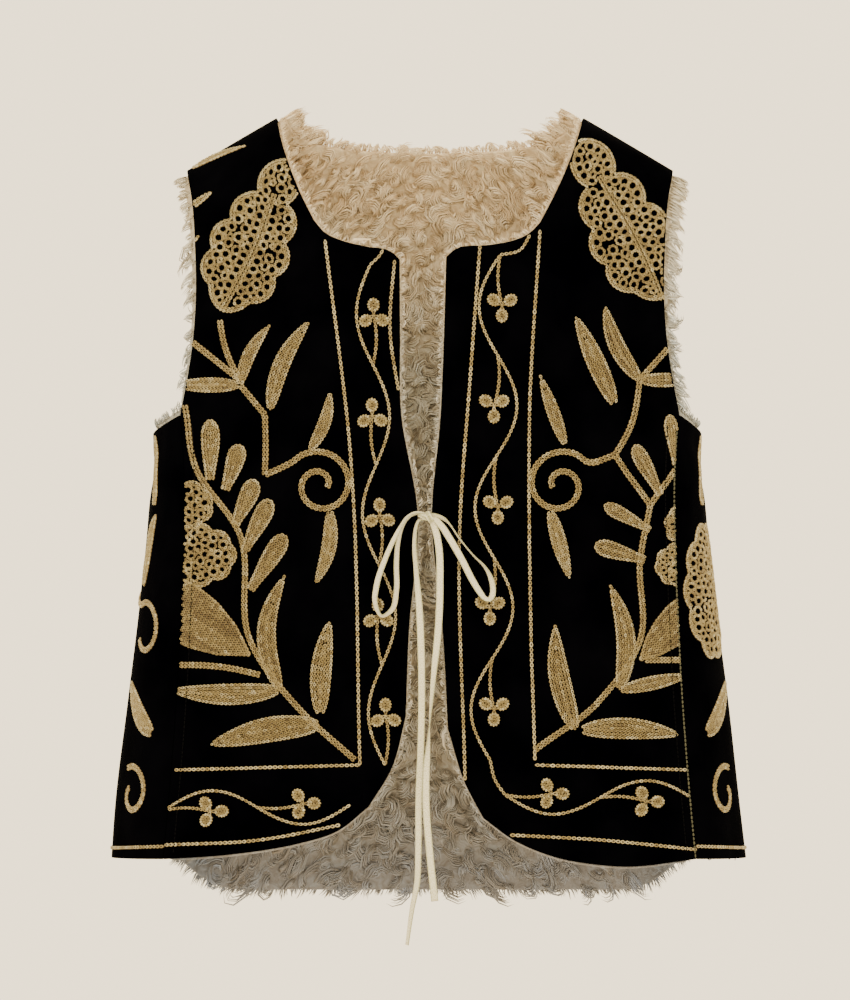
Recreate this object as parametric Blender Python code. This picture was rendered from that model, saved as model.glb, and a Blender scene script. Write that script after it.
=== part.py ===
"""Sleeveless folk vest: five velvet panels, five pile lining panels and two ties in a bow.

Metres. X runs to the wearer's left, Y to the back and Z up. The origin lies midway between the
two neck points, level with them, where the shoulders rest on the wearer.
"""

import math

import bmesh
import bpy
import numpy as np

# Form of the worn vest: the shoulder line, and how the cloth turns down from it.
NECK_HALF = 0.118  # neck point from the centre
SHOULDER_HALF = 0.187  # shoulder tip from the centre
SHOULDER_SLOPE = 0.62
SHOULDER_EASE = 0.05  # rounds the shoulder line where it crosses the neck
SHOULDER_TURN = 0.16  # height of the turn from the shoulder line to the chest
SQUARENESS = 2.5  # power of the superellipse that each level section follows

# Level sections: height, half width to the wearer's right and left, depth of front and back.
SECTIONS = (
    (0.000, 0.2320, 0.2320, 0.100, 0.098),
    (-0.110, 0.2260, 0.2250, 0.117, 0.110),
    (-0.236, 0.2130, 0.2090, 0.127, 0.114),
    (-0.310, 0.2168, 0.2128, 0.128, 0.110),
    (-0.370, 0.2220, 0.2185, 0.128, 0.109),
    (-0.450, 0.2310, 0.2280, 0.130, 0.117),
    (-0.520, 0.2390, 0.2350, 0.134, 0.129),
    (-0.600, 0.2435, 0.2435, 0.139, 0.142),
)

# Walls, from the velvet's outer face inwards.
VELVET_THICK = 0.0018
LAYER_GAP = 0.0004
PILE_THICK = 0.0080
PILE_EDGE_SINK = 0.0020  # the pile wall draws back from the velvet by this at free edges
SEAM_GAP = 0.0005  # at the side seams, measured across
RIDGE_GAP = 0.0004  # half the gap of the shoulder seam, as length down the cloth
# How far the pile lining reaches past the velvet at each kind of edge.
PILE_PAST_OPENING = 0.0025  # front neck, front edges and front hems
PILE_PAST_BACK_NECK = 0.0050
PILE_PAST_ARMHOLE = 0.0070
PILE_PAST_SIDE_HEM = 0.0025
PILE_PAST_BACK_HEM = 0.0100
HEM_EASE = 0.3  # the back hem's pile comes out by this much for each metre from the side seam

# Seam between a front or the back and its side panel: height, distance from the centre.
SIDE_SEAM = (
    (-0.2150, 0.1930),
    (-0.2295, 0.1900),
    (-0.2630, 0.1868),
    (-0.3330, 0.1866),
    (-0.3810, 0.1885),
    (-0.4350, 0.1912),
    (-0.5000, 0.1958),
    (-0.6000, 0.2050),
)
SEAM_TOP = -0.2295
UNDERARM_DIP = 0.0130  # the side panel's top edge sags by this between its seams
FRONT_SEAM_HEM = -0.5650
BACK_SEAM_HEM = -0.5720
# Hem of the back, from the centre towards the side seam: distance from the centre, height.
BACK_HEM = (
    (0.0000, -0.5915),
    (0.1000, -0.5910),
    (0.1620, -0.5885),
    (0.1860, -0.5820),
)

# Armhole edges, shoulder tip to side seam: distance from the centre, height.
FRONT_ARMHOLE = (
    (0.1820, -0.0640),
    (0.1785, -0.1030),
    (0.1775, -0.1400),
    (0.1800, -0.1760),
    (0.1850, -0.2060),
)
BACK_ARMHOLE = (
    (0.1835, -0.0640),
    (0.1815, -0.1030),
    (0.1810, -0.1400),
    (0.1830, -0.1760),
    (0.1865, -0.2060),
)
# Back neck edge, neck point to centre: distance from the centre, height.
BACK_NECK = (
    (0.1130, -0.0080),
    (0.1000, -0.0155),
    (0.0700, -0.0220),
    (0.0350, -0.0245),
    (0.0000, -0.0250),
)

# Edges of each front, as distance from the centre line and height: the neck scoop, the neck's
# level stretch, the front edge, the rounded corner and the hem. The worn fronts hang a little
# differently, so each has its own.
FRONT_EDGES = {
    "right": {
        "scoop": ((0.1140, -0.0180), (0.1080, -0.0370), (0.0980, -0.0620), (0.0880, -0.0820)),
        "neck": ((0.0790, -0.0925), (0.0660, -0.0985), (0.0480, -0.1030), (0.0290, -0.1070)),
        "edge_top": (0.0228, -0.1130),
        "edge": ((0.0225, -0.1700), (0.0220, -0.2250), (0.0095, -0.3035), (0.0160, -0.3950)),
        "corner_top": (0.0225, -0.4585),
        "corner": ((0.0285, -0.4950),),
        "hem_start": (0.0460, -0.5235),
        "hem": ((0.0690, -0.5415), (0.0980, -0.5510), (0.1500, -0.5600)),
    },
    "left": {
        "scoop": ((0.1120, -0.0200), (0.1050, -0.0390), (0.0935, -0.0645), (0.0830, -0.0845)),
        "neck": ((0.0740, -0.0935), (0.0620, -0.0985), (0.0430, -0.1020), (0.0190, -0.1050)),
        "edge_top": (0.0122, -0.1110),
        "edge": ((0.0105, -0.1700), (0.0078, -0.2320), (0.0015, -0.3035), (0.0105, -0.3950)),
        "corner_top": (0.0170, -0.4650),
        "corner": ((0.0262, -0.5057),),
        "hem_start": (0.0400, -0.5320),
        "hem": ((0.0620, -0.5480), (0.0900, -0.5600), (0.1450, -0.5690)),
    },
}

# Soft flutes of the flared side panels, deepest at the hem.
FLUTE_DEPTH = 0.0030
FLUTES = 2

# Grid of the walls: rows along each stretch of a panel's inner edge, which add up to the rows
# of its outer edge, and columns across each panel.
ROWS_SCOOP = 5
ROWS_NECK = 3
ROWS_EDGE = 11
ROWS_CORNER = 3
ROWS_BACK_NECK = 8
ROWS_ARMHOLE = 9
ROWS_SEAM = 13
COLUMNS_FRONT = 10
COLUMNS_HALF_BACK = 8
COLUMNS_SIDE = 7
FINE_STEPS = 200  # points that an edge is measured over
SHARP_DEGREES = 50  # edges sharper than this aren't shaded smooth

# Ties: flat cord, as round tubes of its middle thickness, and the knot in front of the gap.
TIE_RADIUS = 0.0016
TIE_STEP = 0.0075  # between a tube's points
KNOT_AT = (-0.0045, -0.1327, -0.3050)
KNOT_HALF = (0.0058, 0.0036, 0.0046)
# Routes as x, y, z, from the knot outwards; a loop comes back to the knot.
TIE_ROUTES = {
    "tie_right_lead": ((-0.0073, -0.1256, -0.3045), (-0.0057, -0.1284, -0.3047)),
    "tie_left_lead": ((-0.0003, -0.1256, -0.3045), (-0.0022, -0.1284, -0.3047)),
    "tie_right_loop": (
        (-0.0114, -0.1322, -0.3026),
        (-0.0172, -0.1318, -0.3080),
        (-0.0270, -0.1316, -0.3215),
        (-0.0345, -0.1316, -0.3365),
        (-0.0408, -0.1318, -0.3612),
        (-0.0412, -0.1320, -0.3717),
        (-0.0356, -0.1324, -0.3808),
        (-0.0290, -0.1328, -0.3769),
        (-0.0243, -0.1330, -0.3612),
        (-0.0247, -0.1332, -0.3417),
        (-0.0232, -0.1334, -0.3275),
        (-0.0172, -0.1332, -0.3143),
        (-0.0114, -0.1330, -0.3078),
    ),
    "tie_left_loop": (
        (0.0024, -0.1322, -0.3030),
        (0.0105, -0.1318, -0.3080),
        (0.0210, -0.1316, -0.3185),
        (0.0330, -0.1316, -0.3335),
        (0.0442, -0.1316, -0.3478),
        (0.0480, -0.1318, -0.3600),
        (0.0457, -0.1322, -0.3683),
        (0.0390, -0.1326, -0.3655),
        (0.0330, -0.1328, -0.3567),
        (0.0225, -0.1330, -0.3358),
        (0.0105, -0.1332, -0.3155),
        (0.0024, -0.1330, -0.3078),
    ),
    "tie_right_tail": (
        (-0.0066, -0.1328, -0.3100),
        (-0.0086, -0.1326, -0.3135),
        (-0.0108, -0.1322, -0.3215),
        (-0.0092, -0.1316, -0.3462),
        (-0.0082, -0.1312, -0.3717),
        (-0.0068, -0.1310, -0.4015),
        (-0.0060, -0.1310, -0.4320),
        (-0.0068, -0.1312, -0.4810),
        (-0.0082, -0.1318, -0.5300),
        (-0.0090, -0.1326, -0.5785),
        (-0.0115, -0.1330, -0.6010),
        (-0.0165, -0.1334, -0.6270),
    ),
    "tie_left_tail": (
        (-0.0022, -0.1328, -0.3100),
        (0.0004, -0.1327, -0.3140),
        (0.0062, -0.1326, -0.3310),
        (0.0075, -0.1326, -0.3612),
        (0.0060, -0.1330, -0.3920),
        (0.0032, -0.1340, -0.4285),
        (0.0002, -0.1354, -0.4570),
        (-0.0020, -0.1364, -0.4730),
        (-0.0036, -0.1368, -0.4975),
        (-0.0028, -0.1366, -0.5300),
        (0.0002, -0.1362, -0.5620),
        (0.0038, -0.1360, -0.5950),
    ),
}

# Materials: base colour, roughness.
VELVET = ("black_velvet", (0.006, 0.006, 0.009), 0.85)
PILE = ("curly_pile", (0.62, 0.53, 0.42), 0.95)
TIE = ("cream_tie", (0.85, 0.80, 0.66), 0.80)


def clear_scene():
    for old in list(bpy.data.objects):
        bpy.data.objects.remove(old, do_unlink=True)


def make_material(name, colour, roughness):
    material = bpy.data.materials.new(name)
    material.use_nodes = True
    surface = material.node_tree.nodes["Principled BSDF"]
    surface.inputs["Base Color"].default_value = (*colour, 1.0)
    surface.inputs["Roughness"].default_value = roughness
    surface.inputs["Metallic"].default_value = 0.0
    return material


def read_smoothly(rows, places):
    """The columns after the first, read at places of the first, through every row."""
    table = np.array(rows, dtype=float)
    table = table[np.argsort(table[:, 0])]
    knots, values = table[:, 0], table[:, 1:]
    slopes = np.gradient(values, knots, axis=0)
    places = np.clip(np.asarray(places, dtype=float), knots[0], knots[-1])
    low = np.clip(np.searchsorted(knots, places) - 1, 0, len(knots) - 2)
    span = (knots[low + 1] - knots[low])[..., None]
    t = (places - knots[low])[..., None] / span
    return (
        (2 * t**3 - 3 * t**2 + 1) * values[low]
        + (t**3 - 2 * t**2 + t) * span * slopes[low]
        + (3 * t**2 - 2 * t**3) * values[low + 1]
        + (t**3 - t**2) * span * slopes[low + 1]
    )


def spread_along(points, steps):
    """steps + 1 points, evenly spaced along the smooth curve through the given ones."""
    points = np.array(points, dtype=float)
    travelled = np.append(0, np.cumsum(np.linalg.norm(np.diff(points, axis=0), axis=1)))
    rows = np.column_stack([travelled, points])
    return read_smoothly(rows, np.linspace(0, travelled[-1], steps + 1))


def joined(*stretches):
    """One line of points from stretches that each start where the last one ends."""
    return np.concatenate([stretches[0]] + [stretch[1:] for stretch in stretches[1:]])


def shoulder_line(x):
    """Height of the line along which the fronts meet the back."""
    centre = math.hypot(NECK_HALF, SHOULDER_EASE)
    return SHOULDER_SLOPE * (centre - np.hypot(x, SHOULDER_EASE))


def drop_at(x, z):
    """Length of cloth from the shoulder line down to a height."""
    fall = np.maximum(shoulder_line(x) - z, 0)
    turned = np.arccos(np.clip(1 - fall / SHOULDER_TURN, 0, 1))
    return SHOULDER_TURN * turned + np.maximum(fall - SHOULDER_TURN, 0)


def sheet_points(x, drop, back):
    """The outer face of a front or of the back, at x and a length down from the shoulder."""
    turned = np.minimum(drop / SHOULDER_TURN, math.pi / 2)
    past_turn = np.maximum(drop - SHOULDER_TURN * math.pi / 2, 0)
    z = shoulder_line(x) - SHOULDER_TURN * (1 - np.cos(turned)) - past_turn
    half_right, half_left, front, rear = np.moveaxis(read_smoothly(SECTIONS, z), -1, 0)
    half = np.where(x < 0, half_right, half_left)
    across = (1 - np.abs(x / half) ** SQUARENESS) ** (1 / SQUARENESS)
    depth = rear if back else -front
    return np.stack([x, depth * across * np.sin(turned), z], axis=-1)


def front_points(x, drop):
    return sheet_points(x, drop, False)


def back_points(x, drop):
    return sheet_points(x, drop, True)


def side_points(t, z, side):
    """The outer face of a side panel: t runs from 0 at the front's seam to 1 at the back's.

    side is -1 for the wearer's right and 1 for the left.
    """
    half_right, half_left, front, rear = np.moveaxis(read_smoothly(SECTIONS, z), -1, 0)
    half = half_right if side < 0 else half_left
    seam = read_smoothly(SIDE_SEAM, z)[..., 0] + SEAM_GAP / 2
    reach = np.arccos((seam / half) ** (SQUARENESS / 2))
    angle = reach * (2 * t - 1)
    x = half * np.cos(angle) ** (2 / SQUARENESS)
    y = np.sign(angle) * np.abs(np.sin(angle)) ** (2 / SQUARENESS)
    y = y * np.where(angle < 0, front, rear)
    down = (SEAM_TOP - z) / (SEAM_TOP - FRONT_SEAM_HEM)
    swell = FLUTE_DEPTH * np.clip(down, 0, 2) ** 1.5 * np.sin(math.pi * t) ** 2
    flute = swell * np.cos(2 * math.pi * FLUTES * (t - 0.5))
    return np.stack([side * (x + flute), y, z], axis=-1)


def right_side_points(t, z):
    return side_points(t, z, -1)


def left_side_points(t, z):
    return side_points(t, z, 1)


def inset(points_at, grid, depth, outwards):
    """Points of a face moved into the garment by depth, along the face's own normals."""
    step = 1e-5
    u, v = grid[..., 0], grid[..., 1]
    along_u = points_at(u + step, v) - points_at(u - step, v)
    along_v = points_at(u, v + step) - points_at(u, v - step)
    normal = np.cross(along_u, along_v) * outwards
    normal /= np.linalg.norm(normal, axis=-1, keepdims=True)
    return points_at(u, v) - depth[..., None] * normal


def fill_patch(top, bottom, first, last):
    """A grid between four edges, each a line of points; first and last run top to bottom."""
    s = np.linspace(0, 1, len(top))[None, :, None]
    t = np.linspace(0, 1, len(first))[:, None, None]
    ruled_down = (1 - t) * top[None] + t * bottom[None]
    ruled_across = (1 - s) * first[:, None] + s * last[:, None]
    corners = (1 - t) * ((1 - s) * top[0] + s * top[-1])
    corners = corners + t * ((1 - s) * bottom[0] + s * bottom[-1])
    return ruled_down + ruled_across - corners


def shifted(points, distance):
    """A line of points moved to the left of its own direction."""
    ahead = np.gradient(points, axis=0)
    ahead /= np.linalg.norm(ahead, axis=1, keepdims=True)
    return points + distance * np.column_stack([-ahead[:, 1], ahead[:, 0]])


def on_cloth(points):
    """Points given by x and height, as x and length down the cloth."""
    return np.column_stack([points[:, 0], drop_at(points[:, 0], points[:, 1])])


def spread_over(points_at, points, steps):
    """steps + 1 places, evenly spaced over the cloth, on the smooth line through the given ones.

    The given points are x and height; the places are x and length down the cloth.
    """
    fine = on_cloth(spread_along(points, FINE_STEPS))
    on_face = points_at(fine[:, 0], fine[:, 1])
    strides = np.linalg.norm(np.diff(on_face, axis=0), axis=1)
    travelled = np.append(0, np.cumsum(strides))
    wanted = np.linspace(0, travelled[-1], steps + 1)
    return np.column_stack([np.interp(wanted, travelled, column) for column in fine.T])


def seam_point(height):
    return (float(read_smoothly(SIDE_SEAM, height)[0]) - SEAM_GAP / 2, height)


def armhole_edge(points_at, armhole):
    """Shoulder tip to the top of the side seam."""
    tip = (SHOULDER_HALF, float(shoulder_line(SHOULDER_HALF)))
    return spread_over(points_at, (tip,) + armhole + (seam_point(SEAM_TOP),), ROWS_ARMHOLE)


def reach_past_armhole(grid):
    """Moves the armhole edge out for the pile, along the shoulder and along the side seam."""
    edge = grid[: ROWS_ARMHOLE + 1, -1]
    edge[:] = shifted(edge, -PILE_PAST_ARMHOLE)
    edge[0, 1] = RIDGE_GAP
    edge[-1] = on_cloth(np.array([seam_point(SEAM_TOP + PILE_PAST_ARMHOLE)]))[0]


def seam_edge(hem_height):
    """Top of the side seam to the hem."""
    heights = np.linspace(SEAM_TOP, hem_height, ROWS_SEAM + 1)
    return on_cloth(np.array([seam_point(height) for height in heights]))


def half_grid(points_at, inner, outer, hem_points, columns):
    """x and length down the cloth over one half of the front or back.

    Rows run down, from the shoulder seam to the hem; columns run from the inner edge outwards.
    """
    hem = spread_over(points_at, hem_points, columns)
    shoulder = np.linspace(inner[0, 0], outer[0, 0], columns + 1)
    top = np.column_stack([shoulder, np.zeros(columns + 1)])
    grid = fill_patch(top, hem, inner, outer)
    grid[0, :, 1] = RIDGE_GAP
    return grid


def front_grid(which):
    edges = FRONT_EDGES[which]
    scoop = ((NECK_HALF, 0.0),) + edges["scoop"]
    neck = (edges["scoop"][-1],) + edges["neck"] + (edges["edge_top"],)
    edge = (edges["edge_top"],) + edges["edge"] + (edges["corner_top"],)
    corner = (edges["corner_top"],) + edges["corner"] + (edges["hem_start"],)
    inner = joined(
        spread_over(front_points, scoop, ROWS_SCOOP),
        spread_over(front_points, neck, ROWS_NECK),
        spread_over(front_points, edge, ROWS_EDGE),
        spread_over(front_points, corner, ROWS_CORNER),
    )
    outer = joined(armhole_edge(front_points, FRONT_ARMHOLE), seam_edge(FRONT_SEAM_HEM))
    hem_points = (edges["hem_start"],) + edges["hem"] + (seam_point(FRONT_SEAM_HEM),)
    return half_grid(front_points, inner, outer, hem_points, COLUMNS_FRONT)


def half_back_grid():
    neck = spread_over(back_points, ((NECK_HALF, 0.0),) + BACK_NECK, ROWS_BACK_NECK)
    outer = joined(armhole_edge(back_points, BACK_ARMHOLE), seam_edge(BACK_SEAM_HEM))
    hem_points = BACK_HEM + (seam_point(BACK_SEAM_HEM),)
    foot = on_cloth(np.array([BACK_HEM[0]]))[0]
    centre = np.linspace(neck[-1], foot, len(outer) - ROWS_BACK_NECK)
    return half_grid(back_points, joined(neck, centre), outer, hem_points, COLUMNS_HALF_BACK)


def reach_past_front(grid):
    """The same grid with its free edges moved out, for the pile that shows past the velvet."""
    rows = len(grid)
    free = shifted(joined(grid[:, 0], grid[-1]), PILE_PAST_OPENING)
    grid[:, 0] = free[:rows]
    grid[-1] = free[rows - 1 :]
    grid[0, 0, 1] = RIDGE_GAP
    reach_past_armhole(grid)
    hem_end = seam_point(FRONT_SEAM_HEM - PILE_PAST_SIDE_HEM)
    grid[-1, -1] = on_cloth(np.array([hem_end]))[0]
    return grid


def reach_past_half_back(grid):
    """The same half grid with its free edges moved out, for the pile."""
    neck = grid[: ROWS_BACK_NECK + 1, 0]
    neck[:] = shifted(neck, PILE_PAST_BACK_NECK)
    neck[:, 1] = np.maximum(neck[:, 1], RIDGE_GAP)
    neck[-1, 0] = 0.0
    reach_past_armhole(grid)
    past_hem = PILE_PAST_SIDE_HEM + HEM_EASE * (grid[-1, -1, 0] - grid[-1, :, 0])
    grid[-1, :, 1] += np.minimum(past_hem, PILE_PAST_BACK_HEM)
    hem_end = seam_point(BACK_SEAM_HEM - PILE_PAST_SIDE_HEM)
    grid[-1, -1] = on_cloth(np.array([hem_end]))[0]
    return grid


def side_grid():
    """Seam fraction and height over a side panel."""
    t = np.linspace(0, 1, COLUMNS_SIDE + 1)
    top = SEAM_TOP - UNDERARM_DIP * np.sin(math.pi * t)
    hem = FRONT_SEAM_HEM + (BACK_SEAM_HEM - FRONT_SEAM_HEM) * t
    rows = np.linspace(0, 1, ROWS_SEAM + 1)[:, None]
    heights = top[None] * (1 - rows) + hem[None] * rows
    return np.stack([np.broadcast_to(t, heights.shape), heights], axis=-1)


def reach_past_side(grid):
    """The same grid with its armhole and hem edges moved out, for the pile."""
    grid[0, :, 1] += PILE_PAST_ARMHOLE
    grid[-1, :, 1] -= PILE_PAST_SIDE_HEM
    return grid


def build_wall(name, patches, material):
    """A closed wall from patches: pairs of an outer and an inner grid of facing points.

    Patches that share points are joined there.
    """
    wall = bmesh.new()
    corners = {}

    def corner(point):
        key = tuple(np.round(point, 7))
        if key not in corners:
            corners[key] = wall.verts.new(point)
        return corners[key]

    borders = {}
    for outer, inner in patches:
        rows, columns = outer.shape[:2]
        pairs = [
            [(corner(outer[i, j]), corner(inner[i, j])) for j in range(columns)]
            for i in range(rows)
        ]
        for i in range(rows - 1):
            for j in range(columns - 1):
                ring = (pairs[i][j], pairs[i][j + 1], pairs[i + 1][j + 1], pairs[i + 1][j])
                wall.faces.new([pair[0] for pair in ring])
                wall.faces.new([pair[1] for pair in ring])
                for here, there in zip(ring, ring[1:] + ring[:1]):
                    key = frozenset((here[0], there[0]))
                    borders.setdefault(key, []).append((here, there))
    for uses in borders.values():
        if len(uses) == 1:
            here, there = uses[0]
            wall.faces.new((here[0], there[0], there[1], here[1]))
    bmesh.ops.recalc_face_normals(wall, faces=wall.faces)
    mesh = bpy.data.meshes.new(name)
    wall.to_mesh(mesh)
    wall.free()
    mesh.shade_smooth()
    mesh.set_sharp_from_angle(angle=math.radians(SHARP_DEGREES))
    mesh.materials.append(material)
    built = bpy.data.objects.new(name, mesh)
    bpy.context.scene.collection.objects.link(built)
    return built


def build_panel(name, points_at, grids, outwards, free, pile, material):
    """One velvet or pile panel, as a wall of its own thickness; free marks its free edges."""
    start = np.zeros(free.shape)
    thick = PILE_THICK if pile else VELVET_THICK
    if pile:
        start += VELVET_THICK + LAYER_GAP + PILE_EDGE_SINK * free
    patches = [
        [inset(points_at, grid, depth, outwards) for depth in (start, start + thick)]
        for grid in grids
    ]
    return build_wall(name, patches, material)


def free_edges(grid, *spans):
    """Ones where a panel's edge is free, zeros over the rest of its grid."""
    free = np.zeros(grid.shape[:2])
    for span in spans:
        free[span] = 1
    return free


def build_layer(prefix, pile, material):
    """The five panels of the velvet or of the lining."""
    hem, inner_edge = (-1, slice(None)), (slice(None), 0)
    armhole = (slice(0, ROWS_ARMHOLE + 1), -1)
    back_neck = (slice(0, ROWS_BACK_NECK + 1), 0)
    underarm = (0, slice(None))
    for which, side, side_face in (("right", -1, right_side_points), ("left", 1, left_side_points)):
        front, flank = front_grid(which), side_grid()
        if pile:
            front, flank = reach_past_front(front), reach_past_side(flank)
        front = front * (side, 1)
        free = free_edges(front, hem, inner_edge, armhole)
        build_panel(f"{prefix}front_{which}", front_points, [front], -1, free, pile, material)
        free = free_edges(flank, hem, underarm)
        build_panel(f"{prefix}side_{which}", side_face, [flank], side, free, pile, material)
    half = half_back_grid()
    if pile:
        half = reach_past_half_back(half)
    free = free_edges(half, hem, back_neck, armhole)
    halves = [half * (-1, 1), half]
    build_panel(f"{prefix}back", back_points, halves, 1, free, pile, material)


def build_tie(name, route, material):
    """A stretch of tie as a capped tube along the smooth curve through its route."""
    length = np.linalg.norm(np.diff(np.array(route), axis=0), axis=1).sum()
    points = spread_along(route, max(2, round(length / TIE_STEP)))
    curve = bpy.data.curves.new(name, "CURVE")
    curve.dimensions = "3D"
    curve.bevel_depth = TIE_RADIUS
    curve.bevel_resolution = 2
    curve.use_fill_caps = True
    spline = curve.splines.new("POLY")
    spline.points.add(len(points) - 1)
    for place, point in zip(spline.points, points):
        place.co = (*point, 1.0)
    curve.materials.append(material)
    tie = bpy.data.objects.new(name, curve)
    bpy.context.scene.collection.objects.link(tie)
    return tie


def build_knot(material):
    """The knot of the bow: a small pressed ball in front of the gap."""
    mesh = bpy.data.meshes.new("tie_knot")
    ball = bmesh.new()
    bmesh.ops.create_icosphere(ball, subdivisions=3, radius=1.0)
    bmesh.ops.scale(ball, vec=KNOT_HALF, verts=ball.verts)
    ball.to_mesh(mesh)
    ball.free()
    mesh.shade_smooth()
    mesh.materials.append(material)
    knot = bpy.data.objects.new("tie_knot", mesh)
    knot.location = KNOT_AT
    bpy.context.scene.collection.objects.link(knot)
    return knot


def main():
    clear_scene()
    build_layer("", False, make_material(*VELVET))
    build_layer("lining_", True, make_material(*PILE))
    cream = make_material(*TIE)
    for name, route in TIE_ROUTES.items():
        build_tie(name, route, cream)
    build_knot(cream)


main()
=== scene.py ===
"""Looks of a sleeveless folk vest: black velvet worked in gold chain stitch, lined with curly pile.

The cloth is cut to the same sections and edges as the solids that it stands for. Metres.
X runs to the wearer's left, Y to the back and Z up; the origin is midway between the neck points.
"""

import collections
import contextlib
import math

import bpy
import numpy as np
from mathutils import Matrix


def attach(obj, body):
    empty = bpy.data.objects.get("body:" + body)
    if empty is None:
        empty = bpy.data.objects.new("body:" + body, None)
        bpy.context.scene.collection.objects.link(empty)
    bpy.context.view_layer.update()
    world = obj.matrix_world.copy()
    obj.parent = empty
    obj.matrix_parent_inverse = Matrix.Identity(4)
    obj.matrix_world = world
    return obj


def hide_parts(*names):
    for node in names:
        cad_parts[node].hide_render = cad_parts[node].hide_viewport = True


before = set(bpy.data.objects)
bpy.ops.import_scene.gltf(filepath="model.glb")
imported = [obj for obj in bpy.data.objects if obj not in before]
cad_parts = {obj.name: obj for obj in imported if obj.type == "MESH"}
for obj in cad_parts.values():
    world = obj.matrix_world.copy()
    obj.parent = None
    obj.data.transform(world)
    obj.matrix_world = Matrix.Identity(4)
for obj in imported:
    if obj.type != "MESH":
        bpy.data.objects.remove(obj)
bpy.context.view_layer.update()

rng = np.random.default_rng(11)

# ---------------------------------------------------------------- form of the worn vest
NECK_HALF = 0.118
SHOULDER_HALF = 0.187
SHOULDER_SLOPE = 0.62
SHOULDER_EASE = 0.05
SHOULDER_TURN = 0.16
SQUARENESS = 2.5
# Level sections: height, half width to the wearer's right and left, depth of front and back.
SECTIONS = (
    (0.000, 0.2320, 0.2320, 0.100, 0.098),
    (-0.110, 0.2260, 0.2250, 0.117, 0.110),
    (-0.236, 0.2130, 0.2090, 0.127, 0.114),
    (-0.310, 0.2168, 0.2128, 0.128, 0.110),
    (-0.370, 0.2220, 0.2185, 0.128, 0.109),
    (-0.450, 0.2310, 0.2280, 0.130, 0.117),
    (-0.520, 0.2390, 0.2350, 0.134, 0.129),
    (-0.600, 0.2435, 0.2435, 0.139, 0.142),
)
VELVET_THICK = 0.0018
LAYER_GAP = 0.0004
PILE_EDGE_SINK = 0.0020
SEAM_GAP = 0.0005
RIDGE_GAP = 0.0004
PILE_PAST_OPENING = 0.0012
PILE_PAST_BACK_NECK = 0.0050
PILE_PAST_ARMHOLE = 0.0055
PILE_PAST_SIDE_HEM = -0.0005
PILE_PAST_BACK_HEM = 0.0100
HEM_EASE = 0.3
# Side seam: height, distance from the centre.
SIDE_SEAM = (
    (-0.2150, 0.1930),
    (-0.2295, 0.1900),
    (-0.2630, 0.1868),
    (-0.3330, 0.1866),
    (-0.3810, 0.1885),
    (-0.4350, 0.1912),
    (-0.5000, 0.1958),
    (-0.6000, 0.2050),
)
SEAM_TOP = -0.2295
UNDERARM_DIP = 0.0130
FRONT_SEAM_HEM = -0.5650
BACK_SEAM_HEM = -0.5720
# Edges as distance from the centre and height.
BACK_HEM = ((0.0000, -0.5915), (0.1000, -0.5910), (0.1620, -0.5885), (0.1860, -0.5820))
FRONT_ARMHOLE = (
    (0.1820, -0.0640), (0.1785, -0.1030), (0.1775, -0.1400), (0.1800, -0.1760), (0.1850, -0.2060),
)
BACK_ARMHOLE = (
    (0.1835, -0.0640), (0.1815, -0.1030), (0.1810, -0.1400), (0.1830, -0.1760), (0.1865, -0.2060),
)
BACK_NECK = (
    (0.1130, -0.0080), (0.1000, -0.0155), (0.0700, -0.0220), (0.0350, -0.0245), (0.0000, -0.0250),
)
FRONT_EDGES = {
    "right": {
        "scoop": ((0.1140, -0.0180), (0.1080, -0.0370), (0.0980, -0.0620), (0.0880, -0.0820)),
        "neck": ((0.0790, -0.0925), (0.0660, -0.0985), (0.0480, -0.1030), (0.0290, -0.1070)),
        "edge_top": (0.0228, -0.1130),
        "edge": ((0.0225, -0.1700), (0.0220, -0.2250), (0.0095, -0.3035), (0.0160, -0.3950)),
        "corner_top": (0.0182, -0.4560),
        "corner": ((0.0288, -0.4950),),
        "hem_start": (0.0460, -0.5235),
        "hem": ((0.0690, -0.5415), (0.0980, -0.5510), (0.1500, -0.5600)),
    },
    "left": {
        "scoop": ((0.1120, -0.0200), (0.1050, -0.0390), (0.0935, -0.0645), (0.0830, -0.0845)),
        "neck": ((0.0740, -0.0935), (0.0620, -0.0985), (0.0430, -0.1020), (0.0190, -0.1050)),
        "edge_top": (0.0122, -0.1110),
        "edge": ((0.0105, -0.1700), (0.0078, -0.2320), (0.0015, -0.3035), (0.0098, -0.3950)),
        "corner_top": (0.0134, -0.4650),
        "corner": ((0.0262, -0.5057),),
        "hem_start": (0.0400, -0.5320),
        "hem": ((0.0620, -0.5480), (0.0900, -0.5600), (0.1450, -0.5690)),
    },
}
FLUTE_DEPTH = 0.0030
FLUTES = 2
# Rows and columns of the coarsest grid of each panel; the cloth is laid on finer ones.
ROWS_SCOOP, ROWS_NECK, ROWS_EDGE, ROWS_CORNER = 5, 3, 11, 3
ROWS_BACK_NECK, ROWS_ARMHOLE, ROWS_SEAM = 8, 9, 13
COLUMNS_FRONT, COLUMNS_HALF_BACK, COLUMNS_SIDE = 10, 8, 7


def read_smoothly(rows, places):
    """The columns after the first, read at places of the first, through every row."""
    table = np.array(rows, dtype=float)
    table = table[np.argsort(table[:, 0])]
    knots, values = table[:, 0], table[:, 1:]
    slopes = np.gradient(values, knots, axis=0)
    places = np.clip(np.asarray(places, dtype=float), knots[0], knots[-1])
    low = np.clip(np.searchsorted(knots, places) - 1, 0, len(knots) - 2)
    span = (knots[low + 1] - knots[low])[..., None]
    t = (places - knots[low])[..., None] / span
    return (
        (2 * t**3 - 3 * t**2 + 1) * values[low]
        + (t**3 - 2 * t**2 + t) * span * slopes[low]
        + (3 * t**2 - 2 * t**3) * values[low + 1]
        + (t**3 - t**2) * span * slopes[low + 1]
    )


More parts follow.
